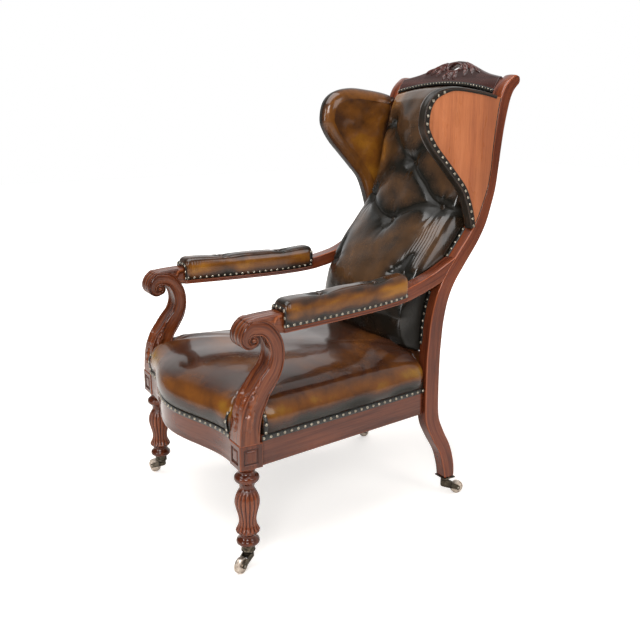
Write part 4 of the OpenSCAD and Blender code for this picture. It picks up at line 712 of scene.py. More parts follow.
def coil_stations():
    """Middle and width of the ribbon round the coil: it fills the space between this turn's outer
    radius and the next turn's, less a groove, and its angle is taken from the coil's top."""
    turn = np.arange(0, 380, 12.0)
    outer = np.interp(turn, coil[:, 0], coil[:, 1])
    inner = np.interp(turn + 360, coil[:, 0], coil[:, 1]) + 0.0007 * np.clip(turn / 90, 0, 1)
    a = np.radians(90 + turn)
    mid, width = (outer + inner) / 2, np.maximum(outer - inner, 0.0022)
    return np.stack([COIL_Y + mid * np.cos(a), COIL_Z + mid * np.sin(a), width], 1)


# Y, Z and width of the ribbon from the leg up to the coil
neck_rise = np.array([
    [-364, 309, 49], [-364, 322, 49], [-362, 350, 48.5], [-357.5, 376, 48.5], [-350.5, 396, 48.5],
    [-343, 411, 48], [-333, 428, 44], [-318.5, 449, 43], [-301, 475, 38], [-293, 506, 34],
    [-297, 536, 33.5], [-311.5, 560.5, 33], [-328, 571.5, 35],
]) * MM
neck_path = paced(smooth(np.vstack([neck_rise, coil_stations()]), 10) * [1, 1, 0.5], 440)
neck_low = neck_path[:200]


REED_DEPTH = 0.0032
NECK_FOOT_Z, HOLLOW_FOOT_Z = 0.330, 0.402


def reeds_across(s):
    """Three reeds across a face of a section, as the depth of the cuts between them from 0 to 1."""
    return 1 - np.abs(np.cos(1.5 * math.pi * s[..., 0])) ** 0.55


def husks(across, z, stems, height):
    """Relief of several small leaves, each given by its stem and its width."""
    return np.maximum.reduce([leaf(across, z, stem, width, height, 2.5, 0.30) for stem, width in stems])


side_husks = [
    ([[-0.338, 0.458], [-0.345, 0.446], [-0.351, 0.434], [-0.355, 0.422]], 0.0085),
    ([[-0.347, 0.428], [-0.354, 0.415], [-0.359, 0.401], [-0.361, 0.386]], 0.0105),
    ([[-0.356, 0.392], [-0.362, 0.377], [-0.366, 0.360], [-0.366, 0.340]], 0.0125),
]
front_husks = [
    ([[0, 0.380], [0, 0.368], [0, 0.354], [0, 0.338]], 0.0095),
    ([[0.008, 0.428], [0.012, 0.417], [0.013, 0.406], [0.010, 0.392]], 0.0068),
]


def neck_relief(u, along, s, x, w, y, z):
    """Carving of the arm support. Its flat sides fall a little to their edges, with a line cut inside
    each edge and three husks one above the other. Its front has a husk at the foot, two above it, and a
    hollow between raised borders from a rounded foot up into the coil. Three reeds run over the outside
    of the coil."""
    line_depth, border_height, fall, hollow_depth = 0.0015, 0.0008, 0.0014, 0.0042
    half = np.abs(w).max(1, keepdims=True)
    flat, front, rear = np.abs(s[..., 2]) > 0.9, s[..., 3] > 0.9, s[..., 3] < -0.9
    edge = half - np.abs(w)
    inset = np.minimum(0.0046, half * 0.42)
    line = -line_depth * np.exp(-((edge - inset) / 0.0011) ** 2) * np.clip(half / 0.005 - 0.6, 0, 1)
    border = border_height * np.clip((inset - edge) / 0.001, 0, 1) * (half > 0.004)
    line = line * np.clip((z - NECK_FOOT_Z) / 0.010, 0, 1) + border
    crown = -fall * (w / half) ** 2 * np.clip((z - NECK_FOOT_Z) / 0.02, 0, 1)
    foot = np.interp(HOLLOW_FOOT_Z, neck_low[:, 1], lengths(neck_low))
    q = np.abs(x) / (np.abs(x).max(1, keepdims=True) + 1e-9)
    opening = np.clip((along - foot - 0.026 * q**2) / 0.012, 0, 1)
    hollow = -hollow_depth * opening * np.clip(1 - (q / 0.74) ** 6, 0, 1) * np.clip(half / 0.012, 0, 1)
    start = np.clip((u - 0.50) / 0.06, 0, 1)
    reeds = -REED_DEPTH * start * reeds_across(s) * np.clip(half / 0.010, 0, 1)
    side_leaf = husks(y, z, side_husks, 0.0058)
    front_leaf = husks(np.abs(x), z, front_husks, 0.0050)
    rise = flat * (crown + line + side_leaf) + rear * reeds
    rise = rise + front * (hollow + front_leaf * np.clip(1.3 - opening, 0, 1))
    cut = np.clip(-(flat * line + rear * reeds) / 0.0018, 0, 1)
    wear = 0.5 - 0.42 * cut + 0.12 * np.clip((side_leaf * flat + front_leaf * front) / 0.003, 0, 1)
    return rise, wear + 0.10 * on_edge(s) - 0.10 * front * opening


def coil_core():
    """Sunk wood between the turns of the coil, and the domed eye at its middle."""
    a = np.linspace(0, 2 * math.pi, 48, endpoint=False)[None]
    drum = np.array([[25.6, 0.2], [25.6, 15.0], [25.0, 15.6]]) * MM
    eye = np.array([[30.2, 0.2], [30.0, 2.2], [29.2, 4.0], [27.8, 5.0], [26.0, 5.2]]) * MM
    parts = []
    for side, rub in ((drum, 0.1), (eye, 0.6)):
        run = np.vstack([side, (side * [-1, 1])[::-1]])
        x, r = run[:, :1], run[:, 1:]
        grid = np.stack([LEG_X + x + 0 * a, COIL_Y + r * np.cos(a), COIL_Z + r * np.sin(a)], -1)
        parts.append(tube(grid, None, np.full(grid.shape[:2], rub)))
    return parts


def shoulder_skin():
    """Wood between the coil and the arm pad: three reeds along its top that end in a small leaf, and
    a plain side set back from the coil's."""
    top = smooth(np.array([
        [-352, 590.5], [-338, 593.5], [-318, 595.5], [-296, 597], [-274.6, 597.5],
    ]) * MM, 12)
    foot = np.array([[-352, 575], [-340, 574], [-312, 563], [-291, 555], [-274, 553]]) * MM
    narrowing = np.array([[-352, 26.4], [-320, 25.0], [-274, 23.0]]) * MM
    curl_stem = [[-0.276, 0.590], [-0.288, 0.592], [-0.298, 0.586], [-0.300, 0.576]]
    low = np.interp(top[:, 0], foot[:, 0], foot[:, 1])
    path = np.stack([top[:, 0], (top[:, 1] + low) / 2], 1)
    half_x = np.interp(path[:, 0], narrowing[:, 0], narrowing[:, 1])

    def relief(u, along, s, x, w, y, z):
        up, flat = s[..., 3] > 0.9, np.abs(s[..., 2]) > 0.9
        curl = leaf(y, z, curl_stem, 0.0062, 0.0034)
        line = -0.0013 * np.exp(-((z - 0.586 - 0.15 * (y + 0.31)) / 0.0013) ** 2)
        rise = up * -REED_DEPTH * reeds_across(s) + flat * (curl + line)
        wear = 0.5 - 0.4 * np.clip(-rise / 0.002, 0, 1) + 0.3 * np.clip(curl / 0.003, 0, 1) * flat
        return rise, wear

    return bar(path, half_x, (top[:, 1] - low) / 2, LEG_X, 0.0028, 4, 14, 10, relief, 0.0004)


# Arm rails and pads

# Share of the way from the support to the stile, and share of the rise
arm_stations = np.array([
    [0.000, 0.00], [0.288, 0.02], [0.505, 0.06], [0.660, 0.14], [0.755, 0.27],
    [0.830, 0.42], [0.888, 0.59], [0.944, 0.80], [1.000, 1.00],
])
ARM_END_Z = ARM_Z0 + ARM_RISE
ARM_END_Y = float(np.interp(ARM_END_Z, stile_path[:, 1], stile_path[:, 0]))
arm_path = smooth(np.stack([SHOULDER + (ARM_END_Y - SHOULDER) * arm_stations[:, 0],
                            ARM_Z0 + ARM_RISE * arm_stations[:, 1]], 1), 12)
arm_head = headings(arm_path)
arm_up = np.stack([-arm_head[:, 1], arm_head[:, 0]], 1)
arm_under, arm_over = arm_path - arm_up * ARM_T / 2, arm_path + arm_up * ARM_T / 2


def arm_low(y):
    """Height of the arm rail's underside."""
    return np.interp(y, arm_under[:, 0], arm_under[:, 1])


def arm_way(y):
    """Share of the way from the arm support back to the knee of the stile."""
    return np.clip((y - SHOULDER) / (KNEE_Y - SHOULDER), 0, 1)


def arm_mid(y):
    """X of the arm's middle line: straight from the support to the stile."""
    return LEG_X + (STILE_X - LEG_X) * arm_way(y)


def arm_half(y):
    """Half the arm's width: it narrows in a straight line to the stile's width."""
    return ARM_HALF + (STILE_HALF - ARM_HALF) * arm_way(y)


def arm_rail_skin():
    """Rail whose underside and top are curves over Y, with a bead cut low along both sides; under the
    pad only its bare lip is left."""
    padded = np.linspace(SHOULDER - 0.001, PAD_Y1 - 0.0012, 70)
    bare = np.linspace(PAD_Y1 - 0.001, ARM_END_Y + 0.012, 60)
    y = np.concatenate([padded, bare])[:, None]
    low = arm_low(y)
    full = np.interp(y, arm_over[:, 0], arm_over[:, 1])
    high = np.where(y < PAD_Y1 - 0.0011, low + ARM_LIP, full)
    half_x = arm_half(y) - 0.0009 * np.clip((y - 0.160) / 0.03, 0, 1)
    half_w = (high - low) / 2
    s = rounded_section(4, 6, 6)[None]
    r = 0.0028
    x = s[..., 0] * (half_x - r) + s[..., 2] * r
    w = s[..., 1] * (half_w - r) + s[..., 3] * r
    sides = np.abs(s[..., 2]) > 0.9
    bead = -0.0009 * np.exp(-((s[..., 1] * half_w + half_w - 0.0055) / 0.0014) ** 2) * sides
    x = x + s[..., 2] * bead
    grid = np.stack([arm_mid(y) + x, y + 0 * x, (low + high) / 2 + w], -1)
    grain = np.stack([y + 0 * x, x, w], -1)
    return tube(grid, grain, 0.5 + 0.35 * on_edge(s) + 300 * bead + 0 * x)


ARM_BUTTONS = (0.30, 0.75)
PAD_LONG = PAD_Y1 - PAD_Y0


def arm_pad_surface(s, t):
    """Leather over the arm at s along it and t from its outer to its inner lower edge: upright sides,
    a rounded top that is drawn down softly at each button with creases round it, and ends that turn
    over. It gives X, Y, Z, and the depths of the hollows and creases."""
    side_share, side_height, bulge, height = 0.07, 0.0105, 0.0058, 0.0480
    y = PAD_Y0 + PAD_LONG * s
    a = math.pi * np.clip((t - side_share) / (1 - 2 * side_share), 0, 1)
    foot = side_height * np.clip(np.minimum(t, 1 - t) / side_share, 0, 1)
    swell = bulge * np.clip(np.sin(math.pi * t), 0, 1) ** 0.3
    turn = quarter_round(np.minimum(s, 1 - s) * PAD_LONG, 0.016)
    x = np.sign(np.cos(a)) * np.abs(np.cos(a)) ** 0.44 * (arm_half(y) + swell - 0.004 * (1 - turn))
    dome = 1 + 0.045 * np.sin(math.pi * np.clip(s, 0, 1)) ** 0.6
    lift = np.abs(np.sin(a)) ** 0.66 * (height * dome - 0.011 * (1 - turn))
    dip, crease = 0 * s, 0 * s
    for b in ARM_BUTTONS:
        dy = (s - b) * PAD_LONG
        d = np.hypot(dy * 0.8, x * 1.1)
        around = np.arctan2(x, dy)
        dip = dip + 0.0085 * np.exp(-(d / 0.020) ** 1.5)
        fold = np.exp(-((d - 0.015) / 0.014) ** 2) * np.clip(d / 0.006, 0, 1)
        crease = crease + 0.0006 * fold * np.cos(5 * around + 2.0 * np.sin(2 * around + b * 9))
    slack = 0.0008 * ripple(x, y, 0 * y, 5, 0.09) * np.sin(a)
    corner = 0.0007 * np.exp(-s * PAD_LONG / 0.022) * np.cos(2 * math.pi * s * PAD_LONG / 0.0075)
    x = x * (1 + 0.6 * corner / 0.03)
    crown = (slack + crease - dip) * np.clip(np.sin(a), 0, 1) ** 1.5
    z = arm_low(y) + ARM_LIP + 0.0003 + foot + lift + crown
    return arm_mid(y) + x, y + 0 * x, z, dip, crease


def arm_pad_skin(seed):
    """Closed pad: the leather's grid with its rows closer at the ends, its two ends filled and bulging
    a little, and a flat underside."""
    rows, cols, low_cols = 170, 70, 8
    s = np.linspace(0, 1, rows)
    s = (s - 0.13 * np.sin(2 * math.pi * s) / math.pi)[:, None]
    t = np.linspace(0, 1, cols)[None]
    x, y, z, dip, crease = arm_pad_surface(s + 0 * t, t + 0 * s)
    grid = np.stack([x, y, z], -1)
    under = np.stack([np.linspace(x[:, -1], x[:, 0], low_cols + 2)[1:-1].T, y[:, :low_cols],
                      np.repeat(z[:, :1], low_cols, 1)], -1)
    rings = np.concatenate([grid, under], 1)
    level = np.clip((z - z.min(1, keepdims=True)) / 0.055, 0, 1)
    side = 0.04 + 0.66 * np.clip((level - 0.04) / 0.36, 0, 1) - 0.36 * np.clip((level - 0.72) / 0.24, 0, 1)
    side = side - 0.3 * np.clip(1 - s / 0.05, 0, 1) + 0.16 * ripple(y, z * 2.5, 0 * y, seed + 4, 0.07)
    top = side - 0.5 * np.clip(dip / 0.006, 0, 1) + 200 * crease + 0.16 * ripple(x, y, z, seed, 0.10)
    rub = np.concatenate([np.clip(top, 0, 1), np.zeros((rows, low_cols))], 1)
    lead, tail = [], []
    for f, out in ((0.50, 0.0034), (0.80, 0.0022), (0.95, 0.0009)):
        for run, ring, at, way in ((lead, rings[0], PAD_Y0, -1), (tail, rings[-1], PAD_Y1, 1)):
            flat = (f * ring + (1 - f) * ring.mean(0)) * [1, 0, 1]
            high = np.clip((flat[:, 2:] - 0.600) / 0.010, 0, 1) if way < 0 else 0.4
            run.append(flat + high * out * np.array([0, way, 0]) + [0, at, 0])
    rings = np.concatenate([np.array(lead), rings, np.array(tail)[::-1]])
    end_rub = np.full((len(lead), rub.shape[1]), 0.25)
    return tube(rings, None, np.concatenate([end_rub, rub, end_rub]))


# Wings

# Share of the depth behind the foremost line, and share of the stile's height
wing_rim = smooth(np.array([
    [0.690, 0.662], [0.650, 0.692], [0.605, 0.720], [0.540, 0.748], [0.410, 0.779], [0.265, 0.811],
    [0.118, 0.844], [0.022, 0.876], [0.000, 0.898], [0.026, 0.929], [0.096, 0.950], [0.215, 0.963],
    [0.400, 0.968], [0.620, 0.964], [0.840, 0.957], [0.955, 0.951],
]) * [0.2275, STILE_H] + [KNEE_Y - 0.031, 0], 14)
wing_rim = paced(wing_rim, 240)
wing_head = headings(wing_rim)
wing_inward = np.stack([wing_head[:, 1], -wing_head[:, 0]], 1)
wing_way = lengths(wing_rim) / lengths(wing_rim)[-1]
wing_seam_z = np.interp(wing_way, [0, 1], [wing_rim[0, 1] + 0.002, wing_rim[-1, 1]])
wing_seam = np.stack([stile_front(wing_seam_z) - 0.0015, wing_seam_z], 1)
wing_band = np.interp(wing_way, [0, 0.05, 0.60, 0.70, 0.76, 1.0], np.array([11, 13, 13, 9, 4.5, 4.5]) * MM)


WING_FACE, WING_INNER = 0.2443, 0.2055
# The roll over the wing's edge: share of the outer band's width inside the rim, metres inside it, X
wing_roll = np.array([
    [1.00, 0, 0.2421], [1.00, 0, 0.2436], [0.90, 0, 0.2440], [0.5, 0, 0.2441], [0.12, 0, 0.2440],
    [0.02, 0, 0.2446], [0, -0.0012, 0.2450], [0, -0.0030, 0.2443], [0, -0.0036, 0.2425],
    [0, -0.0030, 0.2408], [0, -0.0034, 0.2390], [0, -0.0046, 0.2360], [0, -0.0056, 0.2325],
    [0, -0.0060, 0.2285], [0, -0.0053, 0.2242], [0, -0.0034, 0.2198], [0, -0.0002, 0.2154],
    [0, 0.0050, 0.2112], [0, 0.0125, 0.2076], [0, 0.023, 0.2056],
])


def wing_leather():
    """Leather round the wing. Across it runs from the nailed band on the outer face, over the rolled
    front, to the stuffed inner face, which sinks again where it meets the back."""
    rows = len(wing_rim)
    band, t = wing_band[:, None], wing_way[:, None]

    def inside(inset):
        return wing_rim[:, None] + wing_inward[:, None] * inset[..., None]

    inset = wing_roll[None, :, 0] * band + wing_roll[None, :, 1]
    outer = np.concatenate([np.broadcast_to(wing_roll[None, :, 2:], inset.shape + (1,)), inside(inset)], -1)
    q = np.linspace(0, 1, 70)[None, 1:]
    start = outer[:, -1:, 1:]
    across = start + (wing_seam[:, None] - start) * q[..., None]
    y, z = across[..., 0], across[..., 1]
    wide = np.linalg.norm(wing_seam - outer[:, -1, 1:], axis=1)[:, None]
    flat = 0.0013 * np.clip(q / 0.3, 0, 1)
    sink = 0.0090 * np.clip((q - 0.72) / 0.28, 0, 1) ** 2
    puff = 0.0012 * np.sin(math.pi * q) * np.clip(wide / 0.08, 0, 1)
    swell = 0.0016 * ripple(y, z, 0 * y, 21, 0.11) + 0.0008 * ripple(y, z, 0 * y, 22, 0.05)
    gathers = np.cos(2 * math.pi * (z - 0.8) / 0.058 + 1.5 * np.sin(9 * z))
    pulls = 0.0022 * np.clip((q - 0.62) / 0.38, 0, 1) * gathers
    x = WING_INNER + flat + sink - puff + swell * np.clip(q / 0.2, 0, 1) + pulls * 0.8
    inner = np.stack([np.maximum(x, WING_INNER - 0.001), y, z], -1)
    seam = np.column_stack([np.full(rows, 0.2290), wing_seam])[:, None]
    held = np.concatenate([np.full((rows, 1, 1), 0.2416), inside(band + 0.0004)], -1)
    n, cols = outer.shape[1], q.shape[1]
    # Colour across the wing: a dark outer band, then a dark piping and roll edge, then the inner face with
    # dye clouds and lighter across its middle. The inner face darkens towards the seam with the back and at
    # both ends of the rim. That darkening is painted shade in those corners, over glaze that lies thicker
    # there.
    rub = np.zeros((rows, n + cols + 2))
    rub[:, 5:7] = 0.22
    rub[:, 7:n] = 0.06 + 0.5 * np.clip((np.arange(7, n) - 13) / 3.5, 0, 1)
    clouds_and_shade = 0.46 + 0.22 * ripple(y, z, 0 * y, 31, 0.12) + 0.16 * np.sin(math.pi * q)
    rub[:, n:n + cols] = np.clip(clouds_and_shade - 0.45 * np.clip((q - 0.86) / 0.14, 0, 1), 0, 1)
    rub = rub * np.clip(t / 0.05, 0, 1) * np.clip((1.02 - t) / 0.06, 0, 1)
    return tube(np.concatenate([outer, inner, seam, held], 1), None, rub)


# Back pad

BACK_FOOT = 0.416
BACK_HALF = 0.2034
BUTTONS = np.array([
    [-0.150, 0.975], [0.150, 0.975], [0.0, 0.877], [-0.150, 0.772], [0.150, 0.772], [0.0, 0.725],
    [-0.150, 0.610], [0.150, 0.610],
])
HOLLOW_DEPTHS = [0.036, 0.036, 0.025, 0.024, 0.024, 0.022, 0.018, 0.018]
HOLLOW_WIDTHS = [0.026, 0.026, 0.019, 0.019, 0.019, 0.019, 0.019, 0.019]
# Each pleat: the buttons or points that it joins, how far it bows upwards, and its depth
PLEATS = [
    ((-0.150, 0.975), (0.0, 0.877), 0.010, 0.6), ((0.150, 0.975), (0.0, 0.877), 0.010, 0.6),
    ((0.0, 0.877), (-0.150, 0.772), 0.030, 1.0), ((0.0, 0.877), (0.150, 0.772), 0.004, 1.0),
    ((-0.150, 0.772), (0.0, 0.725), -0.002, 1.0), ((0.150, 0.772), (0.0, 0.725), 0.018, 1.0),
    ((-0.150, 0.772), (-0.205, 0.785), 0.0, 0.9), ((0.150, 0.772), (0.205, 0.760), 0.006, 0.9),
    ((-0.150, 0.975), (-0.205, 0.955), 0.0, 0.7), ((0.150, 0.975), (0.205, 0.955), 0.0, 0.7),
    ((-0.150, 0.610), (-0.205, 0.590), -0.004, 0.8), ((0.150, 0.610), (0.205, 0.590), -0.004, 0.8),
    ((-0.150, 0.610), (-0.158, 0.655), 0.0, 0.5), ((0.150, 0.610), (0.158, 0.655), 0.0, 0.5),
]
PAD_DEEP = 0.100
# Share of the pad's height, and the share of its depth at the middle and at the sides
pad_depth = np.array([
    [0.00, 0.46, 0.22], [0.06, 0.76, 0.38], [0.14, 0.91, 0.45], [0.27, 1.00, 0.48], [0.46, 0.96, 0.48],
    [0.60, 0.86, 0.36], [0.72, 0.78, 0.28], [0.86, 0.63, 0.23], [0.95, 0.38, 0.15], [1.00, 0.13, 0.08],
])


def back_surface(x, z, v):
    """Depth of the back pad in front of the stiles: a swelling that falls to the sides and the top,
    drawn in at each button and along each pleat, with creases round the buttons. It gives the depth,
    the hollows, the pleats, the distance to the nearest of them, and the creases."""
    u = np.abs(x) / BACK_HALF
    mid, side = (np.interp(v, pad_depth[:, 0], pad_depth[:, i]) * PAD_DEEP for i in (1, 2))
    depth = side + (mid - side) * np.clip(1 - u**2.6, 0, 1) ** 0.75
    near = np.full(x.shape, 1.0)
    hollow, rays = 0 * x, 0 * x
    for i, (bx, bz) in enumerate(BUTTONS):
        d = np.hypot(x - bx, z - bz)
        around = np.arctan2(z - bz, x - bx)
        hollow = np.maximum(hollow, HOLLOW_DEPTHS[i] * np.exp(-(d / HOLLOW_WIDTHS[i]) ** 1.25))
        fan = np.exp(-((d - 0.026) / 0.022) ** 2) * np.clip(d / 0.010, 0, 1)
        wave = np.cos(7 * around + 2.2 * np.sin(2 * around + i)) + 0.5 * np.cos(13 * around + i)
        rays = rays + fan * wave * 0.0005
        near = np.minimum(near, d)
    fold = 0 * x
    for (ax, az), (bx, bz), bow, strength in PLEATS:
        wx, wz = bx - ax, bz - az
        t = np.clip(((x - ax) * wx + (z - az) * wz) / (wx**2 + wz**2), 0, 1)
        lift = bow * 4 * t * (1 - t)
        d = np.hypot(x - ax - t * wx, z - az - t * wz - lift)
        pleat = 0.0075 * np.exp(-d / 0.0085) + 0.0050 * np.exp(-(d / 0.0024) ** 1.3)
        fold = np.maximum(fold, strength * pleat)
        near = np.minimum(near, d + 0.010)
    total = np.maximum(hollow, 0) + fold * (1 - 0.5 * np.clip(hollow / 0.03, 0, 1))
    # A fan of fine creases on each side roll runs to the lower side button
    for sx in (-1, 1):
        px, pz, across, up = x - sx * 0.168, z - 0.625, 0.22, 0.975
        along, off = px * sx * across + pz * up, px * up * sx - pz * across
        field = np.exp(-((along - 0.060) / 0.055) ** 4) * np.exp(-(off / 0.030) ** 2)
        wander = 0.3 * along + 0.0016 * np.sin(70 * along)
        rays = rays + 0.0008 * field * np.cos(2 * math.pi * (off + wander) / 0.0078)
    slack = 0.0018 * ripple(x, z, 0 * x, 41, 0.15) + 0.0007 * ripple(x, z, 0 * x, 42, 0.05)
    return depth - total + rays + slack, hollow, fold, near, rays


def back_top(x):
    """Height of the back pad's upper edge, just under the crest."""
    return crest_low(x) - 0.0006


def back_pad_skin():
    """Front grid from the bottom edge to the crest, with its columns closer at the sides, closed to a
    rear sheet at the stiles; its rim turns back over a quarter round on all sides."""
    rows, cols = 248, 200
    v = np.linspace(0, 1, rows)[:, None]
    u = np.linspace(-1, 1, cols)[None]
    u = np.sign(u) * (1 - (1 - np.abs(u)) ** 1.25)
    x = u * BACK_HALF + 0 * v
    z = BACK_FOOT + (back_top(x) - BACK_FOOT) * v
    depth, hollow, fold, near, rays = back_surface(x, z, v + 0 * x)
    high, behind = 0.65, 0.009
    round_off = quarter_round((1 - np.abs(u)) * BACK_HALF, 0.016) * quarter_round(v * high, 0.016)
    round_off = round_off * quarter_round((1 - v) * high, 0.010)
    rear = stile_front(z) + behind
    y = rear - (depth + behind) * round_off
    front = np.stack([x, y, z], -1)
    back = np.stack([x, rear, z], -1)
    proud = np.clip(near / 0.055, 0, 1)
    deep = 0.5 * np.clip(fold / 0.006, 0, 1)
    worn_corner = np.clip((-0.10 - x) / 0.05, 0, 1) * np.clip((z - 0.83) / 0.06, 0, 1)
    rub = 0.16 + 0.42 * proud * round_off - deep - 0.4 * np.clip(hollow / 0.018, 0, 1)
    rub = rub + 0.5 * worn_corner + 90 * rays + 0.16 * ripple(x, z, 0 * x, 47, 0.10)
    rub = rub - 0.42 * np.clip((0.575 - z) / 0.07, 0, 1)
    return pillow(front, back, np.clip(rub, 0, 1))


def buttons(places, normals, radius, height):
    """Covered buttons: a low dome pulled in at its middle, one per place, each facing its normal."""
    r = np.array([1.0, 1.02, 0.92, 0.66, 0.34, 0.10]) * radius
    h = np.array([-0.4, 0.25, 0.72, 0.98, 0.94, 0.86]) * height
    return domes(places, normals, r, h, 20, 0.28)


def nail_heads(places, normals, radius):
    """Domed nail heads seated on the leather, 3 mm high over all."""
    r = np.array([1.0, 1.0, 0.86, 0.5, 0.16]) * radius
    h = np.array([-0.0006, 0.0004, 0.0014, 0.0021, 0.00235])
    return domes(places, normals, r, h, 10, 0.6)


def domes(places, normals, radii, heights, around, rub):
    """Turned heads: one ring profile carried to each place and turned to face along its normal, with
    its base and its top closed by a fan."""
    a = np.linspace(0, 2 * math.pi, around, endpoint=False)
    ring = np.stack([np.cos(a)[None] * radii[:, None], np.sin(a)[None] * radii[:, None],
                     np.repeat(heights[:, None], around, 1)], -1)
    n = unit(normals)
    aid = np.where(np.abs(n[:, 2:]) > 0.9, [[1.0, 0, 0]], [[0, 0, 1.0]])
    e = unit(np.cross(aid, n))
    basis = np.stack([e, np.cross(n, e), n], 1)
    co = np.einsum("rak,nkj->nraj", ring, basis) + places[:, None, None]
    count, rows = len(places), len(radii)
    first = (np.arange(count) * rows * around)[:, None, None]
    four = (quads(rows, around, True)[None] + first).reshape(-1, 4)
    j = np.arange(around)
    k = (j + 1) % around
    top = (rows - 1) * around
    base_at = np.broadcast_to(count * rows * around + np.arange(count)[:, None], (count, around))
    first = first[:, :, 0]
    three = np.concatenate([np.stack([base_at, first + k, first + j], -1),
                            np.stack([base_at + count, first + top + j, first + top + k], -1)], 1)
    co = np.vstack([co.reshape(-1, 3), places + n * heights[0], places + n * heights[-1]])
    return skin(co, four, three.reshape(-1, 3), None, np.full(len(co), rub))


# Seat


BOW_HALF, BOW_DEPTH = 0.25, 0.049
SIDE_FRONT_X, SIDE_BACK_X = 0.311, 0.2325
SEAT_FRONT_X = 0.2604
SEAT_MID = (FRONT_FACE + SEAT_BACK) / 2


def front_y(x):
    """Y of the front rail's face: a bow in the shape of one cosine wave."""
    bow = BOW_DEPTH * (1 + np.cos(math.pi * x / BOW_HALF)) / 2
    return FRONT_FACE - np.where(np.abs(x) < BOW_HALF, bow, 0)


def side_x(y):
    """X of the side rail's face: a straight line from the leg's block to the stile."""
    return SIDE_FRONT_X + (SIDE_BACK_X - SIDE_FRONT_X) * (y - BLOCK_BACK) / (KNEE_Y - BLOCK_BACK)


def seat_outline(count):
    """The seat's edge in plan, evenly spaced from its front middle: along the rails, in at the arm
    supports and at the stiles. The third column says how freely the leather may swell there."""
    held = 0.03
    x = np.linspace(0, SEAT_FRONT_X - 0.0002, 40)
    y = np.linspace(BLOCK_BACK + 0.005, KNEE_Y - 0.0008, 40)
    half = np.vstack([
        np.stack([x, front_y(x), np.clip((x[-1] - x) / held, 0, 1)], 1),
        [[SEAT_FRONT_X, BLOCK_BACK + 0.0045, 0]],
        np.stack([side_x(y), y, np.clip(np.minimum(y - y[0], y[-1] - y) / held, 0, 1)], 1),
        [[BACK_HALF, KNEE_Y - 0.0006, 0]], [[BACK_HALF, SEAT_BACK, 0]], [[0, SEAT_BACK, 0]],
    ])
    whole = np.vstack([half, (half * [-1, 1, 1])[::-1][1:-1]])
    loop = np.vstack([whole, whole[:1]])
    even = paced(loop, count + 1)[:-1]
    kernel = np.exp(-np.linspace(-2, 2, 7) ** 2)
    kernel /= kernel.sum()
    pad = np.concatenate([even[-3:], even, even[:3]])
    return np.stack([np.convolve(pad[:, i], kernel, "valid") for i in range(3)], 1)


def seat_skin():
    """Seat leather: rings of the outline drawn in towards its middle. The sides rise from the rails
    with a swelling, turn over, and the top climbs to its crown and its heel, with folds that fan out
    from the corners."""
    count = 560
    edge = seat_outline(count)
    middle = np.array([0, SEAT_MID])
    # Share of the way out from the middle, height, and how far the side swells out
    rings = smooth(np.array([
        [1.000, 0.3264, 0.0006], [1.001, 0.3300, 0.0030], [1.002, 0.3400, 0.0066], [1.001, 0.3520, 0.0076],
        [0.998, 0.3640, 0.0070], [0.990, 0.3755, 0.0054], [0.977, 0.3855, 0.0034], [0.958, 0.3940, 0.0014],
        [0.932, 0.4005, 0], [0.895, 0.4065, 0], [0.84, 0.4130, 0], [0.75, 0.4200, 0], [0.62, 0.4270, 0],
        [0.47, 0.4318, 0], [0.30, 0.4340, 0], [0.14, 0.4348, 0], [0.03, 0.4350, 0],
    ]), 6)
    share, height, out = (rings[:, i][:, None] for i in range(3))
    d = edge[:, :2] - middle
    away = unit(d) * edge[:, 2:]
    x = d[:, 0] * share + away[:, 0] * out
    y = SEAT_MID + d[:, 1] * share + away[:, 1] * out
    top = np.clip((0.985 - share) / 0.12, 0, 1)
    slack = 0.0012 * ripple(x, y, 0 * x, 51, 0.21) + 0.0002 * ripple(x, y, 0 * x, 52, 0.07)
    folds = 0 * x
    for sx in (-1, 1):
        for cx, cy, reach in ((0.262, BLOCK_BACK + 0.004, 0.10), (0.205, KNEE_Y, 0.07)):
            dx, dy = x - sx * cx, y - cy
            r, a = np.hypot(dx, dy), np.arctan2(dy, dx * sx)
            fade = np.exp(-r / reach * 2.2) * np.clip(r / 0.02, 0, 1)
            folds = folds + 0.0016 * fade * np.cos(9 * a + 2 * np.sin(3 * a))
    heel = 0.026 * np.clip((y + 0.01) / 0.15, 0, 1) ** 1.4 * np.clip(1 - (np.abs(x) / 0.222) ** 5, 0, 1)
    heel = heel * np.clip((1.0 - share) / 0.05, 0, 1)
    puckers = 0.0005 * ripple(x, y, height + 0 * x, 53, 0.05) * (1 - top)
    z = height + heel + (slack + folds) * top + puckers
    grid = np.stack([x, y, z], -1)
    wall = np.clip((share - 0.97) / 0.03, 0, 1)
    low = np.clip((height - 0.336) / 0.022, 0, 1)
    rub = 0.37 + 0.13 * ripple(x, y, z, 54, 0.26) + 0.36 * np.exp(-((height - 0.374) / 0.022) ** 2)
    rub = rub + 0.10 * ripple(x, y, z, 56, 0.10) * (1 - top)
    rub = rub * (0.14 + 0.86 * low) + 0.12 * wall * ripple(x, y, z * 3, 55, 0.12) + 60 * folds
    hem = (grid[0, :, :2] - middle) * 0.80 + middle
    under_z, inner_z = RAIL_TOP + 0.0002, RAIL_TOP + 0.0452
    under, inner = (np.column_stack([hem, np.full(count, z)])[None] for z in (under_z, inner_z))
    rub = np.concatenate([np.zeros((2, count)), np.clip(rub, 0, 1)])
    return tube(np.concatenate([inner, under, grid]), None, rub)


def same(direction, count):
    """One direction for each point of a run."""
    return np.tile(np.array(direction, float), (count, 1))


def rail_run(x0, x1, count):
    """Points along the front rail's face, with their outward directions."""
    x = np.linspace(x0, x1, count)
    run = np.stack([x, front_y(x)], 1)
    d = headings(run)
    return run, np.stack([d[:, 1], -d[:, 0]], 1)


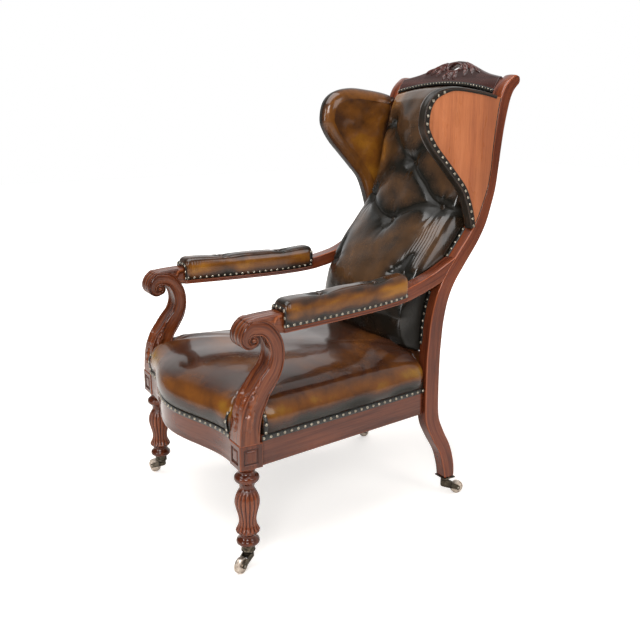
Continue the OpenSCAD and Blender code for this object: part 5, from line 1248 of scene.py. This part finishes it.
def side_run(y0, y1, count):
    """Points along the side rail's face, with their outward directions."""
    y = np.linspace(y0, y1, count)
    return np.stack([side_x(y), y], 1), unit(same([KNEE_Y - BLOCK_BACK, SIDE_FRONT_X - SIDE_BACK_X], count))


def beaded_section(flat_x):
    """Section of a seat rail: how far out, how high, the depth of the bead cut low on its face, and
    its wear."""
    s = rounded_section(4, flat_x, 10)[None]
    half_z, r, bead_depth = (RAIL_TOP - RAIL_Z) / 2, 0.0022, 0.0011
    out = s[..., 0] * (RAIL_T / 2 - r) + s[..., 2] * r
    up = s[..., 1] * (half_z - r) + s[..., 3] * r
    bead = -bead_depth * (s[..., 2] > 0.9) * np.exp(-((up + 0.0285) / 0.0016) ** 2)
    return out, up, bead, 0.5 + 0.3 * on_edge(s) + 260 * bead


def front_rail_skin():
    """Bowed rail: the beaded section carried along the curve of its face."""
    x = np.linspace(-0.261, 0.261, 150)[:, None]
    out, up, bead, rub = beaded_section(6)
    out = out + bead
    y = front_y(x) + RAIL_T / 2 - out
    grid = np.stack([x + 0 * y, y, (RAIL_Z + RAIL_TOP) / 2 + up + 0 * y], -1)
    return tube(grid, np.stack([x + 0 * y, up + 0 * y, out + 0 * y], -1), rub + 0 * y)


def side_rail_skin():
    """Straight rail: the beaded section carried from the leg's block to the stile."""
    y = np.linspace(BLOCK_BACK, KNEE_Y, 40)[:, None]
    out, up, bead, rub = beaded_section(4)
    x = side_x(y) - RAIL_T / 2 + out + bead
    grid = np.stack([x, y + 0 * x, (RAIL_Z + RAIL_TOP) / 2 + up + 0 * x], -1)
    return tube(grid, np.stack([y + 0 * x, up + 0 * x, out + 0 * x], -1), rub + 0 * x)


OUTSIDE_HALF, OUTSIDE_THICK = 0.2038, 0.003


def outside_back():
    """Leather stretched over the back of the frame between the stiles, slightly slack between its
    nails."""
    z = np.linspace(LOW_Z, CREST_LOW_END - 0.0004, 130)[:, None]
    x = np.linspace(-OUTSIDE_HALF, OUTSIDE_HALF, 60)[None]
    x, z = x + 0 * z, z + 0 * x
    slack = 0.0010 * ripple(x, z, 0 * x, 61, 0.20) * np.clip((OUTSIDE_HALF - np.abs(x)) / 0.03, 0, 1)
    inset = 0.0045
    front = np.stack([x, stile_back(z) - inset - OUTSIDE_THICK, z], -1)
    rear = np.stack([x, stile_back(z) - inset + slack, z], -1)
    for g in (0, -1):
        front[g], front[:, g] = rear[g], rear[:, g]
    rub = 0.34 + 0.25 * ripple(x, z, 0 * x, 62, 0.18)
    return pillow(rear, front, np.clip(rub, 0, 1))


CLOTH_BACK, CLOTH_EDGE = 0.1909, 0.0146


def bottom_cloth():
    """Black cloth tacked under the seat rails: rings of its outline drawn in towards the middle, a
    turned-under hem, a slight sag, and small pulls between its tacks. It gives the skin and its flat
    area."""
    count = 480
    x = np.linspace(0, 0.2607, 40)
    y = np.linspace(BLOCK_BACK + 0.0003, KNEE_Y - 0.0003, 30)
    half = np.vstack([np.stack([x, front_y(x) + CLOTH_EDGE], 1), np.stack([side_x(y) - CLOTH_EDGE, y], 1),
                      [[0.2037, KNEE_Y - 0.0003], [0.2037, CLOTH_BACK], [0, CLOTH_BACK]]])
    whole = np.vstack([half, (half * [-1, 1])[::-1][1:]])
    edge = paced(whole, count + 1)[:-1]
    d = edge - [0, SEAT_MID]
    share = np.array([1.0, 0.992, 0.975, 0.958, 0.955, 0.93, 0.86, 0.76, 0.64, 0.50, 0.36, 0.22, 0.10, 0.02])
    share = share[:, None]
    x, y = d[:, 0] * share, SEAT_MID + d[:, 1] * share
    hem = 0.0005 * np.clip((share - 0.956) / 0.002, 0, 1)
    tack = 0.0004 * np.cos(2 * math.pi * np.arange(count) / 12) * np.clip((share - 0.90) / 0.08, 0, 1)
    sag = 0.0030 * (1 - share**2) + 0.0005 * ripple(x, y, 0 * x, 71, 0.12) * (1 - share)
    upper = np.stack([x, y, 0.2556 - sag], -1)
    lower = np.stack([x, y, 0.2552 - sag - hem + tack * 0.5], -1)
    rings = np.concatenate([lower[::-1], upper])
    crossed = edge[:, 0] * np.roll(edge[:, 1], -1) - np.roll(edge[:, 0], -1) * edge[:, 1]
    return tube(rings, None, np.full(rings.shape[:2], 0.4)), float(abs(crossed.sum()) / 2)


# Bands of dark leather with their nails

SEAT_BAND_Z, SEAT_BAND_WIDTH = 0.3190, 0.0135
BAND_WIDTH, NARROW_BAND, CREST_BAND = 0.0098, 0.0088, 0.0095
BAND_THICK = 0.0018
NAIL_RADIUS, CREST_NAIL_RADIUS = 0.0038, 0.0021
NAIL_PITCH, SEAT_PITCH, WING_PITCH, CREST_PITCH = 0.0175, 0.0195, 0.0185, 0.0125


def spaced(run, pitch):
    """Evenly spaced places along a run of points and directions, near a given pitch."""
    inset = 0.0045
    s = np.concatenate([[0], np.cumsum(np.linalg.norm(np.diff(run[:, :3], axis=0), axis=1))])
    n = max(int(round((s[-1] - 2 * inset) / pitch)), 1) + 1
    u = np.linspace(inset, s[-1] - inset, n)
    return np.stack([np.interp(u, s, run[:, i]) for i in range(run.shape[1])], 1)


def nail_row(run, outward, pitch, radius=NAIL_RADIUS):
    """Nail heads evenly spaced along a run of points, near a given pitch."""
    row = spaced(np.column_stack([run, outward]), pitch)
    return nail_heads(row[:, :3], row[:, 3:], radius)


def nailed(run, outward, across, width, thick=BAND_THICK, pitch=NAIL_PITCH, lift=0.0001, radius=NAIL_RADIUS):
    """A band along a run, and the heads of the nails over its middle, lifted a little off it."""
    heads = nail_row(run + outward * (thick + lift), outward, pitch, radius)
    return strip(run, outward, across, width, thick), heads


def seat_bands():
    """Bands round the seat with their nails. The first follows the front rail. The others are the left
    side's: along the side rail, and upright beside the arm support on its rear and its front, where
    they follow the leather outwards and back in."""
    found = []
    for flat, out in (rail_run(-SEAT_FRONT_X, SEAT_FRONT_X, 130),
                      side_run(BLOCK_BACK + 0.0006, KNEE_Y - 0.0006, 30)):
        n = len(flat)
        run, outward = (np.column_stack([v, np.full(n, end)]) for v, end in ((flat, SEAT_BAND_Z), (out, 0)))
        found.append(nailed(run, outward, same([0, 0, 1], n), SEAT_BAND_WIDTH, pitch=SEAT_PITCH, lift=0.0002))
    n = 16
    z = np.linspace(0.3275, 0.3740, n)
    swell = 0.004 * np.sin(math.pi * np.clip((z - z[0]) / 0.05, 0, 1))
    swell = swell - 0.010 * np.clip((z - 0.350) / 0.030, 0, 1) ** 2
    for place, facing, across in (([0.3118, BLOCK_BACK + 0.0095], [0.999, 0.04, 0], [0, 1, 0]),
                                  ([0.2535, FRONT_FACE - 0.0012], [0.02, -0.999, 0], [1, 0, 0])):
        outward = same(facing, n)
        run = np.column_stack([same(place, n), z]) + swell[:, None] * outward
        found.append(nailed(run, outward, same(across, n), NARROW_BAND, 0.0016))
    return found


def arm_bands():
    """Bands of the left arm with their nails: along both sides of the pad's foot, round its front end,
    and upright at its rear end."""
    n = 60
    y = np.linspace(PAD_Y0 + 0.0006, PAD_Y1 - 0.0006, n)
    found = []
    for way in (1, -1):
        x = arm_mid(y) + way * (arm_half(y) + 0.0002)
        run = np.column_stack([x, y, arm_low(y) + ARM_LIP + 0.0053])
        found.append(nailed(run, unit(same([way, way * 0.10, 0], n)), same([0, 0, 1], n), BAND_WIDTH))
    corner = np.array([[29.2, 12], [29.2, 30], [29.2, 46], [23.2, 51.5], [12, 52.5], [0, 52.5]]) * MM
    loop = paced(smooth(np.vstack([corner, (corner * [-1, 1])[::-1][1:]]), 6), n)
    way = headings(loop)
    run = np.column_stack([LEG_X + loop[:, 0], np.full(n, PAD_Y0 - 0.0012), arm_low(PAD_Y0) + loop[:, 1]])
    across = np.column_stack([-way[:, 1], np.zeros(n), way[:, 0]])
    found.append(nailed(run, same([0, -1, 0], n), across, NARROW_BAND))
    n = 20
    x, low = arm_mid(PAD_Y1) - arm_half(PAD_Y1) - 0.0058, arm_low(PAD_Y1)
    z = np.linspace(low + ARM_LIP + 0.012, low + 0.056, n)
    run = np.column_stack([np.full(n, x), np.full(n, PAD_Y1 - 0.0065), z])
    found.append(nailed(run, same([-1, 0, 0], n), same([0, 1, 0], n), NARROW_BAND, 0.0014))
    return found


def back_bands():
    """Bands up the left side of the back with their nails: one below the arm and one above it."""
    n = 40
    found = []
    for low, high in ((LOW_Z + 0.0005, ARM_END_Z - 0.0745), (ARM_END_Z + 0.0078, 0.7255)):
        z = np.linspace(low, high, n)
        y = stile_front(z)
        outward = unit(np.stack([0 * z, 0 * z - 1, np.gradient(y, z)], 1))
        run = np.stack([0 * z + 0.2093, y - 0.0002, z], 1)
        found.append(nailed(run, outward, same([1, 0, 0], n), BAND_WIDTH))
    return found


def crest_band():
    """Band along the crest's lower edge with its small, close nails."""
    n = 120
    x = np.linspace(-0.2025, 0.2025, n)
    z = crest_low(x) + 0.0052
    run = np.stack([x, np.interp(z, crest_side[:, 1], crest_side[:, 0]) - 0.0082, z], 1)
    outward = same([0, -0.92, 0.39], n)
    across = unit(np.cross(np.gradient(run, axis=0), outward))
    return nailed(run, outward, across, CREST_BAND, 0.0020, CREST_PITCH, radius=CREST_NAIL_RADIUS)


def wing_nails():
    """Nails along the middle of the left wing's outer band, up to where the band narrows."""
    nailed_part = wing_way < 0.72
    line = (wing_rim + wing_inward * (wing_band * 0.50)[:, None])[nailed_part]
    n = len(line)
    return nail_row(np.column_stack([np.full(n, WING_FACE), line]), same([1, 0, 0], n), WING_PITCH)


def joint_line():
    """Thin strip of shadow where the wing board meets the stile."""
    n, low, high, width, thick = 60, 0.742, 1.046, 0.0022, 0.0008
    z = np.linspace(low, high, n)
    run = np.column_stack([np.full(n, 0.2418), stile_front(z) - 0.0012, z])
    return strip(run, same([1, 0, 0], n), same([0, 1, 0], n), width, thick)


def both(parts):
    """The given skins and their mirror images."""
    parts = [parts] if isinstance(parts, dict) else list(parts)
    return parts + [flipped(p) for p in parts]


BUTTON_SUNK, BUTTON_PROUD = 0.0035, 0.0012

# Making the pieces: frame

ribbon = bar(neck_path[:, :2], ARM_HALF, neck_path[:, 2], LEG_X, 0.0026, 4, 24, 36, neck_relief, 0.0003)
arm_support = [ribbon, shoulder_skin()] + coil_core()
stile, arm_bar, side_rail = stile_skin(), arm_rail_skin(), side_rail_skin()
SIDES = (("left", 1, lambda p: p), ("right", -1, flipped))
for side, out, turned in SIDES:
    make("stile_" + side, turned(stile), FRAME_WOOD, ["rear_stile_" + side])
    make("arm_support_" + side, [turned(p) for p in arm_support], HIGHLIT_NECK_WOOD,
         ["arm_scroll_" + side])
    make("arm_bar_" + side, turned(arm_bar), FRAME_WOOD, ["arm_rail_" + side])
    make("turned_leg_" + side, [leg_turning(out * LEG_X)] + leg_block(out * LEG_X, out), CARVED_WOOD,
         ["front_leg_" + side])
    make("side_rail_" + side, turned(side_rail), RAIL_WOOD, ["seat_rail_" + side])
make("crest", crest_skin(), CREST_WOOD, ["crest_rail"])
make("bowed_front_rail", front_rail_skin(), RAIL_WOOD, ["seat_rail_front"])

# Leather

seat = make("seat", seat_skin(), SEAT_LEATHER, ["seat_cushion"])
back = make("buttoned_back", back_pad_skin(), BACK_LEATHER, ["back_pad"])
wing_skin = wing_leather()
for side, out, turned in SIDES:
    pad = make("arm_cushion_" + side, turned(arm_pad_skin(7 if side == "left" else 8)), LEATHER,
               ["arm_pad_" + side])
    wing = make("wing_leather_" + side, turned(wing_skin), LEATHER,
                ["wing_pad_" + side] + (["wing_bands"] if side == "left" else []))
outside = make("outside_back", outside_back(), BACK_LEATHER, ["outside_back_panel"])
cloth_skin, cloth_area = bottom_cloth()
under = make("black_cloth", cloth_skin, UNDER_CLOTH, ["bottom_cloth"])

# Buttons


def slope(line, at, reach):
    """Rise of a line around a place."""
    return (line(at + reach) - line(at - reach)) / (2 * reach)


bx, bz = BUTTONS.T
share_up = (bz - BACK_FOOT) / (back_top(bx) - BACK_FOOT)
button_at = np.stack([bx, stile_front(bz) - back_surface(bx, bz, share_up)[0] - BUTTON_SUNK, bz], 1)
facing = np.stack([0 * bz, 0 * bz - 1, slope(stile_front, bz, 0.02)], 1)
make("back_button_covers", buttons(button_at, facing, 0.0095, 0.0065), BACK_LEATHER,
     ["back_buttons"])
along = np.array(ARM_BUTTONS)
bx, by, bz = arm_pad_surface(along, 0 * along + 0.5)[:3]
button_at = np.stack([bx, by, bz + BUTTON_PROUD], 1)
facing = np.stack([0 * by, -slope(arm_low, by, 0.01), 0 * by + 1], 1)
make("arm_button_covers", both(buttons(button_at, facing, 0.0075, 0.0045)), LEATHER,
     ["arm_buttons"])

# Bands and nails

seat_gimp, seat_heads = zip(*seat_bands())
arm_gimp, arm_heads = zip(*arm_bands())
back_gimp, back_heads = zip(*back_bands())
crest_gimp, crest_heads = crest_band()
make("seat_gimp", [seat_gimp[0]] + both(seat_gimp[1:]), TRIM_LEATHER, ["seat_band"])
make("arm_gimp", both(arm_gimp), TRIM_LEATHER, ["arm_bands"])
make("board_joint", both(joint_line()), TRIM_LEATHER)
make("back_gimp", both(back_gimp) + [crest_gimp], TRIM_LEATHER, ["back_bands"])
make("seat_nail_heads", [seat_heads[0]] + both(seat_heads[1:]), NAIL_BRASS, ["seat_nails"])
make("arm_nail_heads", both(arm_heads), NAIL_BRASS, ["arm_nails"])
make("back_nail_heads", both(back_heads) + [crest_heads], NAIL_BRASS, ["back_nails"])
make("wing_nail_heads", both(wing_nails()), NAIL_BRASS, ["wing_nails"])

# Finishes of the solids that stay

kept = {
    "back_low_rail": INNER_WOOD, "corner_blocks": INNER_WOOD, "frame_dowels": INNER_WOOD,
    "seat_rail_back": PLAIN_WOOD, "wing_board_left": BOARD_WOOD, "wing_board_right": BOARD_WOOD,
    "seat_webbing": WEBBING, "back_webbing": WEBBING, "spring_canvas": CANVAS,
    "seat_stuffing": HAIR, "seat_springs": SPRING_STEEL, "castor_screws": PIN_STEEL,
}
for place in ("front_left", "front_right", "rear_left", "rear_right"):
    top = "castor_cup_" if place.startswith("front") else "castor_plate_"
    kept[top + place] = CASTOR_BRASS
    kept["castor_fork_" + place] = CASTOR_BRASS
    kept["castor_axle_" + place] = PIN_STEEL
    kept["castor_wheel_" + place] = TREAD_BRASS
for node, finish in kept.items():
    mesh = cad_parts[node].data
    mesh.materials.clear()
    mesh.materials.append(finish)

# Room, light and camera


def room():
    """Plain pale floor that keeps the chair's shadow and turns to the surrounding white away from it,
    and a surrounding that is pure white to the camera and a softly graded light elsewhere."""
    p = Paint("studio_floor")
    seen = p.add("LightPath").outputs["Is Camera Ray"]
    away = p.add("VectorMath", {0: p.add("TexCoord").outputs["Object"]}, operation="LENGTH").outputs["Value"]
    far = p.add("MapRange", {"Value": away, "From Min": 0.9, "From Max": 2.4, "To Min": 0.46, "To Max": 1.0})
    p.shade(Base_Color=(0.90, 0.86, 0.82, 1), Roughness=0.9, Specular_IOR_Level=0.0,
            Emission_Color=(1, 0.992, 0.985, 1), Emission_Strength=p.math("MULTIPLY", seen, far))
    mesh = bpy.data.meshes.new("floor")
    half = 9
    corners = [(-half, -half, 0), (half, -half, 0), (half, half, 0), (-half, half, 0)]
    mesh.from_pydata(corners, [], [(0, 1, 2, 3)])
    mesh.materials.append(p.material)
    floor = bpy.data.objects.new("floor", mesh)
    bpy.context.scene.collection.objects.link(floor)
    world = bpy.data.worlds.new("studio")
    bpy.context.scene.world = world
    world.use_nodes = True
    tree = world.node_tree
    new, link = tree.nodes.new, tree.links.new
    backdrop = tree.nodes["Background"].inputs
    way = new("ShaderNodeVectorMath")
    way.operation = "DOT_PRODUCT"
    link(new("ShaderNodeTexCoord").outputs["Generated"], way.inputs[0])
    way.inputs[1].default_value = (-0.45, 0.84, 0.30)
    graded = new("ShaderNodeMapRange")
    graded.interpolation_type = "SMOOTHSTEP"
    for key, value in (("From Min", 0.0), ("From Max", 0.85), ("To Min", 0.11), ("To Max", 0.85)):
        graded.inputs[key].default_value = value
    link(way.outputs["Value"], graded.inputs["Value"])
    seen = new("ShaderNodeLightPath").outputs["Is Camera Ray"]
    pick = new("ShaderNodeMix")
    link(seen, pick.inputs["Factor"])
    link(graded.outputs["Result"], pick.inputs["A"])
    pick.inputs["B"].default_value = 1.0
    link(pick.outputs["Result"], backdrop["Strength"])
    backdrop["Color"].default_value = (1, 1, 1, 1)


def lamp(name, place, aim, size, power):
    """Soft square lamp that faces a point."""
    data = bpy.data.lights.new(name, "AREA")
    data.shape = "RECTANGLE"
    data.size, data.size_y = size
    data.energy = power
    obj = bpy.data.objects.new(name, data)
    obj.location = place
    obj.rotation_euler = (Vector(aim) - Vector(place)).to_track_quat("-Z", "Y").to_euler()
    bpy.context.scene.collection.objects.link(obj)


room()
lamp("soft_overhead", (0.2, -0.7, 3.0), (0, 0, 0.5), (2.4, 2.4), 84)
lamp("soft_front_right", (3.1, -2.3, 2.3), (0, 0, 0.7), (1.3, 1.3), 66)
lamp("soft_front", (0.8, -3.2, 1.4), (0, 0, 0.6), (0.5, 1.7), 28)
lamp("soft_right", (2.9, 0.9, 1.8), (0, 0.1, 0.6), (1.2, 1.8), 24)

data = bpy.data.cameras.new("camera")
data.sensor_width = 36.0
data.lens = 47.70
camera = bpy.data.objects.new("camera", data)
camera.location = (1.882, -1.0985, 1.049)
turn, dip = math.radians(59.83), math.radians(14.76)
look = Vector((-math.sin(turn) * math.cos(dip), math.cos(turn) * math.cos(dip), -math.sin(dip)))
camera.rotation_euler = look.to_track_quat("-Z", "Y").to_euler()
bpy.context.scene.collection.objects.link(camera)
bpy.context.scene.camera = camera
bpy.context.scene.view_settings.view_transform = "Standard"

bpy.context.view_layer.update()
